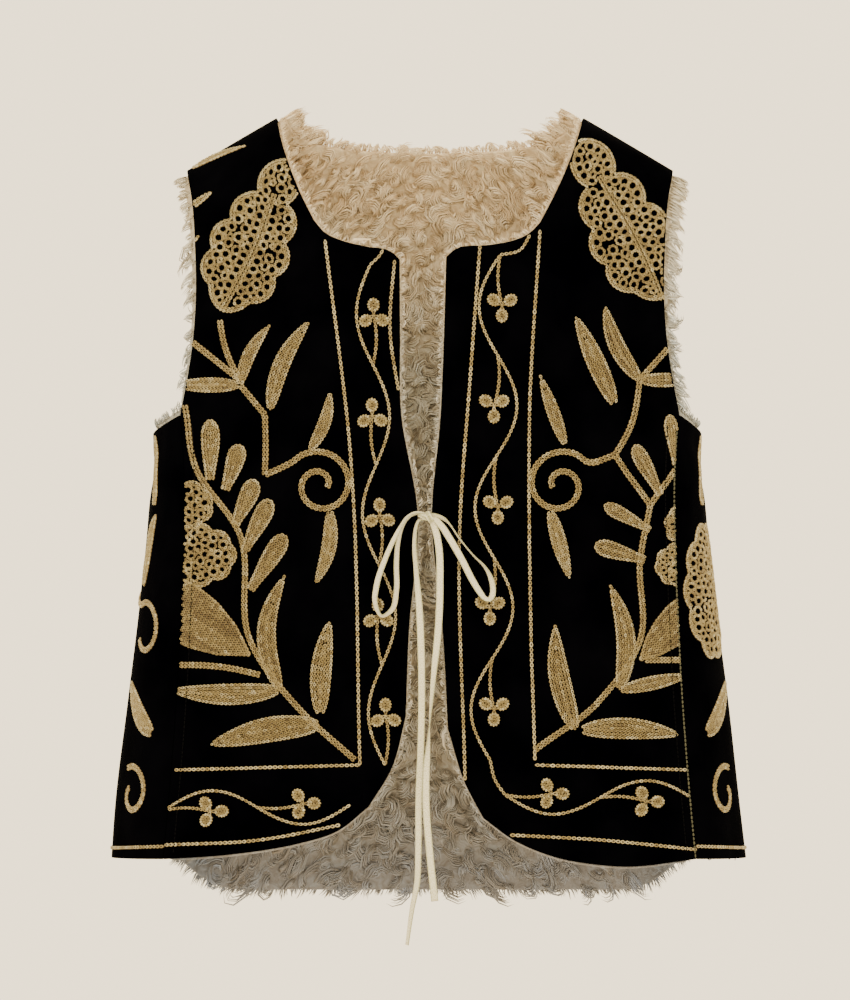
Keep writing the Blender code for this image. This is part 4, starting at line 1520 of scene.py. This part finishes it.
LEFT_DESIGN = FrontDesign(
    flower=((580, 140), (665, 305), 66),
    borders=(
        ((480, 245), (470, 380), (460, 520), (465, 780)),
        ((540, 230), (530, 400), (530, 580), (535, 760)),
        ((535, 765), (690, 770)), ((510, 835), (600, 840), (700, 850)),
    ),
    branch=((650, 505), (640, 560), (640, 640), (600, 700), (535, 750)),
    stems=(
        ((640, 380), (675, 340), 0.0), ((640, 380), (615, 455), -0.08),
        ((615, 455), (650, 505), 0.0), ((650, 505), (675, 470), 0.0),
        ((645, 660), (680, 660), 0.0),
    ),
    leaves=(
        ((640, 380), (605, 305), -0.08, 18), ((615, 405), (575, 315), 0.0, 20),
        ((565, 445), (540, 375), 0.0, 14), ((640, 380), (695, 380), 0.0, 15),
        ((550, 510), (570, 580), 0.0, 16), ((620, 690), (610, 585), 0.10, 20),
        ((620, 690), (690, 675), 0.0, 15), ((575, 730), (555, 625), -0.05, 22),
        ((580, 730), (680, 735), -0.04, 22),
    ),
    buds=(
        ((660, 495), (635, 445), 17), ((650, 530), (605, 505), 15),
        ((645, 560), (595, 545), 18), ((675, 465), (670, 415), 14),
    ),
    vines=(
        (((530, 235), (520, 250), (500, 255)), ((500, 255), (490, 760), 5, 20, 1)),
        (((490, 760), (495, 780), (505, 795)), ((505, 795), (695, 800), 2, 18, 1)),
    ),
    tendril_root=(615, 455),
    tendril=((560, 485), 36, 36, -40, -560),
    pod=((640, 660), (680, 620), 36),
    pod_rows=((640, 660), (680, 620)),
    round_flowers=(((680, 525), 15, 20, 7), ((680, 565), 26, 22, 9)),
    hole=3.0,
)
# The leaf nearest the shoulder seam lies on cloth that turns away, so its rows are drawn closer.
SHOULDER_LEAF = ((190, 170), (250, 145), -0.04)
SHOULDER_LEAF_WIDTH = 7
SHOULDER_ROW_GAP = 1.1


def work_drawn(work, borders, branches, stems, leaves, buds):
    """Works tables of borders, branches, stems, leaves and buds, in that order."""
    for line in borders:
        work.row(line, BORDER, 0.20)
    for line in branches:
        work.stem(line)
    for base, tip, bow in stems:
        work.stem(bowed(base, tip, bow))
    for base, tip, bow, width in leaves:
        work.leaf(bowed(base, tip, bow), width)
    for base, tip, width in buds:
        work.club(bowed(base, tip), width)


def work_front(work, design):
    """A front's design, apart from its tall flower."""
    work_drawn(
        work, design.borders, (design.branch,), design.stems, design.leaves, design.buds
    )
    for lead_in, swings in design.vines:
        if lead_in:
            work.row(lead_in, VINE, 0.18)
        vine(work, *swings)
    coil = arc(*design.tendril, SPIRAL_SHRINK)
    work.stem(np.vstack([[design.tendril_root], coil]))
    work.filled(pod(*design.pod), *design.pod_rows)
    for flower in design.round_flowers:
        work.lace(round_flower(*flower), hole=design.hole)


def work_front_right(work):
    """The front on the wearer's right: its berries stand up from the vine."""
    work.lace(*tall_flower(*RIGHT_DESIGN.flower))
    work.leaf(bowed(*SHOULDER_LEAF), SHOULDER_LEAF_WIDTH, row_gap=SHOULDER_ROW_GAP)
    work_front(work, RIGHT_DESIGN)


def work_front_left(work):
    """The front on the wearer's left: its berries hang from the vine."""
    work.lace(*tall_flower(*LEFT_DESIGN.flower))
    work_front(work, LEFT_DESIGN)


# The half of each side behind the arm: a branch of its own, mirrored from one side to the other.
SIDE_BRANCH = ((145, 470), (155, 540), (145, 600), (157, 670), (148, 720), (162, 770))
SIDE_LEAVES = (
    ((147, 474), (136, 395), 0.05, 15), ((147, 474), (178, 402), -0.05, 15),
    ((152, 640), (218, 615), -0.08, 16), ((150, 695), (230, 665), -0.08, 18),
    ((155, 745), (235, 725), 0.06, 16),
)
SIDE_BUDS = (((151, 530), (186, 496), 17), ((148, 580), (190, 552), 17))
# Hooks are given as centre, across, down, angles and how far they wind in.
SIDE_HOOK_ROOT = ((162, 770), (182, 796))
SIDE_HOOK = ((212, 784), 26, 20, 110, -200, 0.4)
# The half by the front's seam: one motif to a band, in equal bands down to the border.
SIDE_TOP = 430
SIDE_BAND = 80
SIDE_MIDDLE = 65
SIDE_BORDER = ((0, 840), (275, 855))


def in_band(band, out=0, below=0):
    """A place on a side, from the middle of one of its bands."""
    return SIDE_MIDDLE + out, SIDE_TOP + SIDE_BAND * (band + 0.5) + below


def work_both_sides(work):
    """What the two sides share: two leaves, the scroll at the foot, the border and the branch."""
    work.leaf(bowed(in_band(0, 0, 36), in_band(0, 0, -36)), 20)
    work.leaf(bowed(in_band(3, -35, 20), in_band(3, 35, -30), 0.05), 24)
    work.stem(arc(in_band(4), 36, 28, -60, -400, 0.3))
    work.row(SIDE_BORDER, BORDER, 0.12)
    work_drawn(work, (), (SIDE_BRANCH,), (), SIDE_LEAVES, SIDE_BUDS)
    work.stem(np.vstack([SIDE_HOOK_ROOT, arc(*SIDE_HOOK)]))


def work_side_right(work):
    """The side under the wearer's right arm, with a leaf over a scroll at its middle."""
    work.leaf(bowed(in_band(1, 20, 36), in_band(1, -10, -36), 0.06), 24)
    work.stem(np.vstack([[in_band(2, 70, -40)], arc(in_band(2), 36, 30, -60, -330, 0.5)]))
    work_both_sides(work)


def work_side_left(work):
    """The side under the wearer's left arm, with a round flower at its middle."""
    work.lace(round_flower(in_band(1.5), 56, 72, 10), hole=4.2, widen=1.7)
    work_both_sides(work)


# The back is drawn from its centre, and every row of it is worked on both halves.
BACK_BORDERS = (
    ((0, 176), (60, 174), (112, 160)), ((236, 440), (235, 600), (247, 762)),
    ((0, 764), (247, 762)), ((0, 870), (120, 869), (240, 858)),
)
BACK_BRANCHES = (
    ((1.6, 620), (1.6, 744)), ((1.6, 392), (1.6, 236)),
    ((2, 742), (80, 722), (150, 650), (162, 560), (148, 480), (170, 405), (206, 330)),
)
BACK_LEAVES = (
    ((98, 714), (88, 640), -0.10, 20), ((160, 640), (114, 584), -0.10, 18),
    ((148, 506), (122, 436), -0.12, 17), ((172, 402), (132, 344), -0.12, 17),
    ((126, 690), (214, 680), -0.12, 22), ((164, 618), (221, 576), -0.10, 20),
    ((150, 512), (209, 466), -0.10, 19), ((158, 436), (216, 404), -0.10, 17),
    ((3, 356), (52, 298), -0.12, 16), ((3, 312), (42, 250), -0.12, 15),
    ((3, 366), (78, 346), -0.10, 15),
)
BACK_BUDS = (
    ((188, 372), (218, 350), 19), ((164, 580), (194, 548), 19), ((140, 672), (170, 646), 19),
)

BACK_FLOWER = ((0, 508), 96, 114, 12)
BACK_FLOWER_VEIN = ((0, 404), (0, 612))
BACK_SPRIG = ((0, 240), (0, 222), (0, 214))
BACK_SPRIG_BERRIES = ((0, 202), (-10, 218), (10, 218))
BACK_SHOULDER_FLOWER = ((143, 178), (205, 312))
BACK_SHOULDER_FLOWER_WIDTH = 60
BACK_HOLE = 5.4
BACK_HOOK_ROOT = (30, 738)
BACK_HOOK = ((46, 682), 17, 19, 20, -280, 0.45)
BACK_VINE = ((4, 818), (246, 818))
BACK_VINE_SWINGS, BACK_VINE_SWAY = 3, 20


def sided(table, side):
    """A table's places and bows on one half of the back."""
    if side > 0:
        return table
    return tuple(
        (
            tuple(np.array(base) * (-1, 1)), tuple(np.array(tip) * (-1, 1)),
            *(-value if place == 0 and len(rest) == 2 else value for place, value in enumerate(rest)),
        )
        for base, tip, *rest in table
    )


def work_back(work):
    """The back's own design: a tall flower between mirrored branches, over a vine at the hem."""
    work.lace(round_flower(*BACK_FLOWER), bowed(*BACK_FLOWER_VEIN), hole=BACK_HOLE)
    work.sprig(BACK_SPRIG, BACK_SPRIG_BERRIES)
    for side in (1, -1):
        flip = np.array([side, 1.0])
        edge, vein = tall_flower(*(BACK_SHOULDER_FLOWER * flip), BACK_SHOULDER_FLOWER_WIDTH)
        work.lace(edge, vein, hole=BACK_HOLE)
        branches = [np.array(line) * flip for line in BACK_BRANCHES]
        borders = [np.array(line) * flip for line in BACK_BORDERS]
        leaves, buds = sided(BACK_LEAVES, side), sided(BACK_BUDS, side)
        work_drawn(work, borders, branches, (), leaves, buds)
        work.stem(np.vstack([[BACK_HOOK_ROOT], arc(*BACK_HOOK)]) * flip)
        vine(work, *(BACK_VINE * flip), BACK_VINE_SWINGS, BACK_VINE_SWAY, side)


def model_link():
    """One stitch as points, triangles, and how near each point is to the yarn's crown."""
    nothing_selected()
    bpy.ops.mesh.primitive_circle_add(vertices=8, radius=0.5, fill_type="NGON")
    with all_in_edit_mode(bpy.context.object):
        bpy.ops.mesh.extrude_region_move(TRANSFORM_OT_translate={"value": (0, 0, 1)})
        bpy.ops.transform.resize(value=(0.66, 0.60, 1))
        bpy.ops.mesh.poke()
    points, triangles = taken_as_model(bpy.context.object)
    rim = points[:, 2] < 0.5
    centre = np.hypot(points[:, 0], points[:, 1]) < 0.05
    # The crown sets painted shade in the yarn's colour: its flanks are coloured darker than its top.
    crown = np.where(rim, 0.30, np.where(centre, 0.0, 1.0))
    # A loop of yarn: drawn in where it leaves the last stitch, and dimpled at its eye.
    narrow = np.clip(0.72 + 0.5 * (points[:, 0] + 0.5), 0.72, 1.08)
    points[:, 1] *= narrow
    points[rim, 2] = -0.25
    points[centre, 2] = 0.25
    # The underside lies in the velvet and is left out.
    return points, triangles[~rim[triangles].all(axis=1)], crown


def sew(name, stitches, material, high, uneven):
    """All the stitches of a panel as one piece."""
    points, triangles, crown = LINK
    count = len(stitches)
    at, ahead, normal = stitches[:, :3], stitches[:, 3:6], stitches[:, 6:9]
    long, wide, tone, closed = stitches[:, 9:13].T
    aside = np.cross(normal, ahead)
    size = np.column_stack([long * LINK_OVERLAP, wide, np.full(count, high)])
    size *= rng.uniform(1 - uneven, 1 + uneven, (count, 3))
    local = points[None] * size[:, None]
    placed = at[:, None] + local[..., :1] * ahead[:, None]
    placed += local[..., 1:2] * aside[:, None] + local[..., 2:] * normal[:, None]
    tones = np.clip(0.5 + tone + rng.normal(0, 0.14, count), 0, 1)
    crowns = np.where(crown[None] == 0, closed[:, None], crown[None])
    maps = {"tone": np.repeat(tones, len(points)), "crest": crowns}
    uv = np.tile(points[:, :2] * (5.5, 3.0), (count, 1)) + np.repeat(
        rng.uniform(0, 9, (count, 2)), len(points), axis=0
    )
    faces = repeated(triangles, count, len(points))
    return mesh_piece(name, placed.reshape(-1, 3), faces, material, maps, uv)


LINK = model_link()
# The back is worked in longer stitches.
STRETCH = {"back": 1.4}
TOPSTITCH_IN = 0.0083
SEAM_STITCH_IN = 0.0014
TOPSTITCH_LIFT = 0.0009
TOPSTITCH_FINENESS = 6
TOPSTITCH_START = 3
THREAD_SHARE = 0.75
THREAD_HIGH = 0.0006
NEEDLEWORK = {
    "front_right": work_front_right,
    "front_left": work_front_left,
    "side_right": work_side_right,
    "side_left": work_side_left,
    "back": work_back,
}


def embroider():
    """Works every panel; returns the stitching of each."""
    stitching = {}
    for name, draw in NEEDLEWORK.items():
        work = Needlework(name, STRETCH.get(name, 1.0))
        draw(work)
        piece = sew(f"stitching_{name}", np.concatenate(work.stitches), YARN, LINK_HIGH, 0.08)
        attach(piece, "root")
        stitching[name] = [piece]
    return stitching


def topstitch(name, which, side, inwards, kind, material):
    """A line of sewing thread down a front beside its side seam, over the needlework."""
    k = TOPSTITCH_FINENESS
    work = Needlework(f"front_{which}")
    seam = front_grid(which, k)[ROWS_ARMHOLE * k + TOPSTITCH_START :, -1]
    work.run((seam - (inwards, 0)) * (side, 1), kind, lift=TOPSTITCH_LIFT)
    stitches = np.concatenate(work.stitches)
    # Each stitch is cut short, which leaves a small gap before the next.
    stitches[:, 9] *= THREAD_SHARE
    thread = sew(name, stitches, material, THREAD_HIGH, 0.15)
    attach(thread, "root")
    return thread


STITCHING = embroider()
for which, side in (("right", -1), ("left", 1)):
    thread = topstitch(f"topstitch_front_{which}", which, side, TOPSTITCH_IN, THREAD, SEWING_THREAD)
    STITCHING[f"front_{which}"].append(thread)
# Under the wearer's left arm a paler line along the seam is a painted highlight where the front's edge
# catches the light.
STITCHING["front_left"].append(
    topstitch("seam_stitch_front_left", "left", 1, SEAM_STITCH_IN, SEAM, SEAM_HIGHLIGHT_THREAD)
)

# ---------------------------------------------------------------- curls of the pile
# A lock is a few hairs bent side by side round one centre. Spacing of the locks, hairs in a
# lock, hair width, radius of the curl and how high it stands.
Locks = collections.namedtuple("Locks", "gap hairs width radius stand")
SEEN_LOCKS = Locks(0.0084, 8, 0.00122, (0.0036, 0.0110), (0.0024, 0.0066))
EDGE_LOCKS = Locks(0.0114, 5, 0.00120, (0.0026, 0.0050), (0.0006, 0.0018))
HIDDEN_LOCKS = Locks(0.0250, 4, 0.00450, (0.0080, 0.0135), (0.0015, 0.0045))
EDGE_BAND = (0.0022, 0.0150)
CORNER_STEPS = 8
COVERED_PAST = 0.0040
FRONT_AHEAD = 0.12
PILE_ROOT = VELVET_THICK + LAYER_GAP + PILE_GROUND_THICK - 0.0006
# A tuft is a pointed clump that curls past an edge. Spacing of the tufts, hairs in a tuft, hair
# width, length, width of the clump at its root, how far it curls in radians, and its lean down.
Tufts = collections.namedtuple("Tufts", "gap hairs width long root curl lean")
NECK_TUFTS = Tufts(0.0056, 9, 0.0012, (0.005, 0.010), 0.0046, 1.9, 0.0)
CORNER_TUFTS = Tufts(0.0042, 12, 0.0012, (0.011, 0.021), 0.0095, 2.1, 0.0)
RIGHT_ARMHOLE_TUFTS = Tufts(0.0120, 8, 0.0012, (0.003, 0.010), 0.0048, 1.3, 0.3)
LEFT_ARMHOLE_TUFTS = Tufts(0.0080, 10, 0.0012, (0.008, 0.017), 0.0062, 1.0, 0.3)
HEM_TUFTS = Tufts(0.0085, 11, 0.0012, (0.010, 0.021), 0.0058, 0.8, 0.0)
SIDE_TUFTS = Tufts(0.0080, 5, 0.0012, (0.004, 0.008), 0.0026, 1.2, 0.0)
FUZZ = Tufts(0.0050, 3, 0.0007, (0.0030, 0.0060), 0.0024, 1.6, 0.0)
HAIR_RINGS = 5


def model_hair(rings):
    """One hair as a three-sided spindle: how far along each point is, its offset and its faces."""
    nothing_selected()
    bpy.ops.mesh.primitive_uv_sphere_add(segments=3, ring_count=rings, radius=1.0)
    points, triangles = taken_as_model(bpy.context.object)
    along = np.arccos(np.clip(-points[:, 2], -1, 1)) / math.pi
    return np.round(along * rings).astype(int), points[:, :2], triangles


HAIR = model_hair(HAIR_RINGS)


def grow(panel, scale, hairs):
    """Hairs along flat lines at heights above the ground; returns points, faces and maps."""
    station, offset, triangles = HAIR
    lines, heights, widths, tones = hairs
    places = lines / scale
    if not panel.name.startswith("side"):
        places[..., 1] = np.maximum(places[..., 1], 0.0008)
    centre = panel.at(places, PILE_ROOT + heights)
    inward = -panel.normal(places)
    ahead = np.gradient(centre, axis=1)
    ahead /= np.maximum(np.linalg.norm(ahead, axis=-1, keepdims=True), 1e-9)
    aside = np.cross(inward, ahead)
    aside /= np.maximum(np.linalg.norm(aside, axis=-1, keepdims=True), 1e-9)
    rise = np.cross(ahead, aside)
    about = offset[None, :, :1] * aside[:, station] + 0.75 * offset[None, :, 1:] * rise[:, station]
    points = centre[:, station] + about * (widths / 2)[:, None, None]
    # along is brightest where a hair arches highest and darkest at its root, for the pile's painted
    # highlight and painted shade.
    along = np.sin(math.pi * np.arange(HAIR_RINGS + 1) / HAIR_RINGS) ** 0.8
    along[-1] = 0.55
    count = len(lines)
    maps = {"along": np.tile(along[station], count), "tone": np.repeat(tones, len(station))}
    return points.reshape(-1, 3), repeated(triangles, count, len(station)), maps


def behind_the_fronts(panel, flat):
    """Which places of the back the fronts cover when seen from straight ahead."""
    points = panel.face(flat[:, 0], flat[:, 1])
    covered = np.zeros(len(flat), dtype=bool)
    for which, side in (("right", -1), ("left", 1)):
        grid = front_grid(which, 2) * (side, 1)
        front = front_points(grid[..., 0], grid[..., 1])[..., (0, 2)]
        rim = np.concatenate([front[0], front[:, -1], front[-1][::-1], front[::-1, 0]])
        nearness = (EYE_DISTANCE - FRONT_AHEAD) / (EYE_DISTANCE + points[:, 1])
        height = EYE_HEIGHT + (points[:, 2] - EYE_HEIGHT) * nearness
        within, away = inside(np.column_stack([points[:, 0] * nearness, height]), rim)
        covered |= within & (away > COVERED_PAST)
    return covered


def locks_over(outline, kind, wanted):
    """Locks of curls spread over an outline, as hairs' flat lines, heights, widths and tones."""
    least, most = outline.min(axis=0), outline.max(axis=0)
    spots = [
        (x, y)
        for i, y in enumerate(np.arange(least[1], most[1], kind.gap * 0.87))
        for x in np.arange(least[0] + (i % 2) * kind.gap / 2, most[0], kind.gap)
    ]
    spots = np.array(spots) + rng.uniform(-0.35, 0.35, (len(spots), 2)) * kind.gap
    within, away = inside(spots, outline)
    spots = spots[within & (away > 0.35 * kind.gap) & wanted(spots, away)]
    count, shape = len(spots), (len(spots), kind.hairs)
    # Neighbouring locks lie much the same way, as combed.
    drift = 1.5 * np.sin(spots[:, 0] * 95 + 1.3) + 1.5 * np.cos(spots[:, 1] * 80 + spots[:, 0] * 40)
    start = (drift + rng.normal(0, 0.9, count))[:, None, None]
    turn = rng.choice([-1, 1], count, p=[0.4, 0.6]) * rng.uniform(2.2, 4.4, count)
    rank = np.linspace(-0.5, 0.5, kind.hairs)[None] + rng.normal(0, 0.05, shape)
    reach = rng.uniform(*kind.radius, count)[:, None] + rank * kind.hairs * kind.width * 0.82
    reach = np.maximum(reach, 0.0012)[..., None]
    s = np.linspace(0, 1, HAIR_RINGS + 1)[None, None]
    ease = rng.normal(0, 0.22, shape)[..., None]
    angle = start + turn[:, None, None] * (s + 0.08 * ease) + 0.35 * ease
    # A curl tightens towards its tip.
    spiral = reach * (1 - 0.28 * s)
    lines = np.stack([
        spots[:, 0, None, None] + spiral * np.cos(angle) - reach * np.cos(start) * 0.5,
        spots[:, 1, None, None] + spiral * np.sin(angle) - reach * np.sin(start) * 0.5,
    ], axis=-1)
    stand = rng.uniform(*kind.stand, count)[:, None, None] * (1 - 0.6 * np.abs(rank[..., None]))
    heights = stand * np.sin(math.pi * np.clip(s * 1.05, 0, 1)) ** 0.7 + 0.0004 * ease
    heights = heights - 0.0006 * (s < 0.01)
    tones = rng.uniform(0.25, 0.85, count)[:, None] + rng.normal(0, 0.16, shape)
    widths = kind.width * rng.uniform(0.75, 1.25, count * kind.hairs)
    return hairs_of(lines, heights, widths, np.clip(tones, 0, 1))


def hairs_of(lines, heights, widths, tones):
    """Locks or tufts as one list of hairs."""
    many = lines.shape[0] * lines.shape[1]
    heights = np.broadcast_to(heights, lines.shape[:3])
    return lines.reshape(many, -1, 2), heights.reshape(many, -1), widths, tones.ravel()


def tufts_along(edge, kind):
    """Pointed clumps of hair that curl out past an edge; the way out is to the edge's left."""
    travelled = lengths(edge)
    spots = np.arange(kind.gap / 2, travelled[-1], kind.gap)
    count, shape = len(spots), (len(spots), kind.hairs)
    spots = spots + rng.uniform(-0.4, 0.4, count) * kind.gap
    base = np.column_stack([np.interp(spots, travelled, c) for c in edge.T])
    ahead = np.column_stack([np.interp(spots, travelled, c) for c in np.gradient(edge, axis=0).T])
    ahead /= np.maximum(np.linalg.norm(ahead, axis=1, keepdims=True), 1e-9)
    way = np.arctan2(ahead[:, 0] + kind.lean, -ahead[:, 1]) + rng.normal(0, 0.35, count)
    reach = rng.uniform(*kind.long, count)[:, None] * rng.uniform(0.75, 1.1, shape)
    rank = np.linspace(-1, 1, kind.hairs)[None] + rng.normal(0, 0.15, shape)
    s = np.linspace(0, 1, HAIR_RINGS + 1)[None, None]
    curl = rng.normal(0, 1, count)[:, None] * kind.curl + rng.normal(0, 0.25, shape)
    heading = way[:, None, None] + curl[..., None] * s
    step = reach[..., None] / HAIR_RINGS
    out = np.stack([np.cos(heading), np.sin(heading)], axis=-1) * step[..., None]
    # The root lies a third of the hair's length inside the edge.
    run = np.cumsum(out, axis=2) - (1 + 0.35 * HAIR_RINGS) * out
    side = np.stack([-np.sin(way), np.cos(way)], axis=-1)[:, None, None]
    spread = (rank[..., None] * kind.root * (1 - 0.85 * s))[..., None] * side
    lines = base[:, None, None] + run + spread
    lift = rng.uniform(-0.0022, 0.0020, shape)[..., None]
    heights = lift * np.sin(math.pi * 0.8 * s) - 0.0012 - 0.0006 * s
    widths = kind.width * rng.uniform(0.8, 1.2, count * kind.hairs)
    return hairs_of(lines, heights, widths, rng.uniform(0.35, 1.0, shape))


def tufts_of(name):
    """Each free edge of a panel's pile, run so that out is to its left, and its tufts."""
    k = 2
    grids, _ = grids_of(name, k, True)
    arm = slice(0, ROWS_ARMHOLE * k + 1)
    if name == "back":
        right, left = grids
        neck = slice(0, ROWS_BACK_NECK * k + 1)
        rim = np.concatenate([right[neck, 0], left[neck, 0][::-1][1:]])[::-1]
        hem = np.concatenate([left[-1][::-1], right[-1][1:]])
        return (
            (rim, NECK_TUFTS), (rim[:CORNER_STEPS], CORNER_TUFTS), (rim[-CORNER_STEPS:], CORNER_TUFTS),
            (left[arm, -1][::-1], LEFT_ARMHOLE_TUFTS),
            (right[arm, -1], RIGHT_ARMHOLE_TUFTS),
            (hem, HEM_TUFTS),
        )
    grid = grids[0]
    if name == "front_right":
        return (grid[arm, -1], RIGHT_ARMHOLE_TUFTS), (grid[::-1, 0], FUZZ)
    if name == "front_left":
        return (grid[arm, -1][::-1], LEFT_ARMHOLE_TUFTS), (grid[:, 0], FUZZ)
    return ((grid[0] * (SIDE_WIDE, 1), SIDE_TUFTS),)


def plant(name, panel, scale, groups):
    """Groups of hairs on one panel as one piece."""
    points, faces, maps, start = [], [], [], 0
    for group in groups:
        grown, triangles, found = grow(panel, scale, group)
        points.append(grown)
        faces.append(triangles + start)
        maps.append(found)
        start += len(grown)
    maps = {key: np.concatenate([found[key] for found in maps]) for key in maps[0]}
    curls = mesh_piece(name, np.concatenate(points), np.concatenate(faces), PILE, maps)
    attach(curls, "root")
    return curls


def make_curls(name):
    """The curls and tufts of one panel's pile; the back's are two pieces, as seen and as covered."""
    panel = PANELS[name]
    scale = np.array([panel.wide, 1.0])
    outline = around(name, 2, True) * scale
    tufts = [tufts_along(edge, kind) for edge, kind in tufts_of(name)]
    if name == "back":

        def covered(spots, _):
            return behind_the_fronts(panel, spots)

        def seen(spots, _):
            return ~behind_the_fronts(panel, spots)

        return [
            plant("curls_back_seen", panel, scale, [locks_over(outline, SEEN_LOCKS, seen)]),
            plant(
                "curls_back_covered", panel, scale,
                [locks_over(outline, HIDDEN_LOCKS, covered)] + tufts,
            ),
        ]

    def deep(_, away):
        return away > EDGE_BAND[1]

    def shallow(_, away):
        return (away > EDGE_BAND[0]) & (away <= EDGE_BAND[1])

    locks = [locks_over(outline, HIDDEN_LOCKS, deep), locks_over(outline, EDGE_LOCKS, shallow)]
    return [plant(f"curls_{name}", panel, scale, locks + tufts)]


CURLS = {name: make_curls(name) for name in PANELS}


# ---------------------------------------------------------------- attach the sheets, stage and light
FLOOR_RADIUS = 3.0
FLOOR_THICK = 0.02
FLOOR_HEIGHT = -1.1
AIR_STRENGTH = 3.0
LIT_POINT = (0, -0.05, -0.3)
# Soft lights: name, place, width, power and tint.
SOFTBOXES = (
    ("key", (-1.6, -2.6, 1.6), 1.6, 28.0, "FFF6EA"),
    ("fill", (2.2, -2.2, 0.4), 2.0, 9.0, "F6F6FF"),
    ("rim_left", (-2.2, 1.0, 0.6), 1.4, 5.0, "F6F7FF"),
    ("rim_right", (2.2, 1.2, 0.6), 1.4, 5.0, "FFF8F0"),
)


def declare_sheets():
    """Hides the part that each panel's sheet of cloth stands for and attaches the sheet to the root."""
    for name, (cloth, area) in SHEETS.items():
        layer, panel_name = name.split("_", 1)
        node = panel_name if layer == "velvet" else f"lining_{panel_name}"
        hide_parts(node)
        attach(cloth, "root")


declare_sheets()


def make_floor_board():
    """A pale floor, well below the vest."""
    nothing_selected()
    bpy.ops.mesh.primitive_circle_add(vertices=96, radius=FLOOR_RADIUS, fill_type="NGON")
    floor = bpy.context.object
    floor.name = "pale_floor"
    with all_in_edit_mode(floor):
        bpy.ops.mesh.extrude_region_move(TRANSFORM_OT_translate={"value": (0, 0, -FLOOR_THICK)})
        bpy.ops.mesh.select_all(action="SELECT")
        bpy.ops.transform.translate(value=(0, 0, FLOOR_HEIGHT))
        bpy.ops.mesh.normals_make_consistent(inside=False)
    floor.data.materials.append(make_floor())


def add_softbox(name, place, size, power, tint):
    """A round soft light at a place, turned to the lit point."""
    light = bpy.data.lights.new(name, "AREA")
    light.shape, light.size, light.energy = "DISK", size, power
    light.color = colour(tint)[:3]
    lamp = bpy.data.objects.new(name, light)
    bpy.context.scene.collection.objects.link(lamp)
    lamp.location = place
    away = np.array(place) - np.array(LIT_POINT)
    across = math.atan2(away[0], -away[1])
    lamp.rotation_euler = (math.atan2(math.hypot(away[0], away[1]), away[2]), 0, across)


def make_studio():
    """Warm air all round and four soft lights."""
    world = bpy.data.worlds.new("studio_air")
    bpy.context.scene.world = world
    world.use_nodes = True
    air = world.node_tree.nodes["Background"]
    air.inputs["Color"].default_value = colour("F5E2BE")
    air.inputs["Strength"].default_value = AIR_STRENGTH
    for softbox in SOFTBOXES:
        add_softbox(*softbox)


make_floor_board()
make_studio()
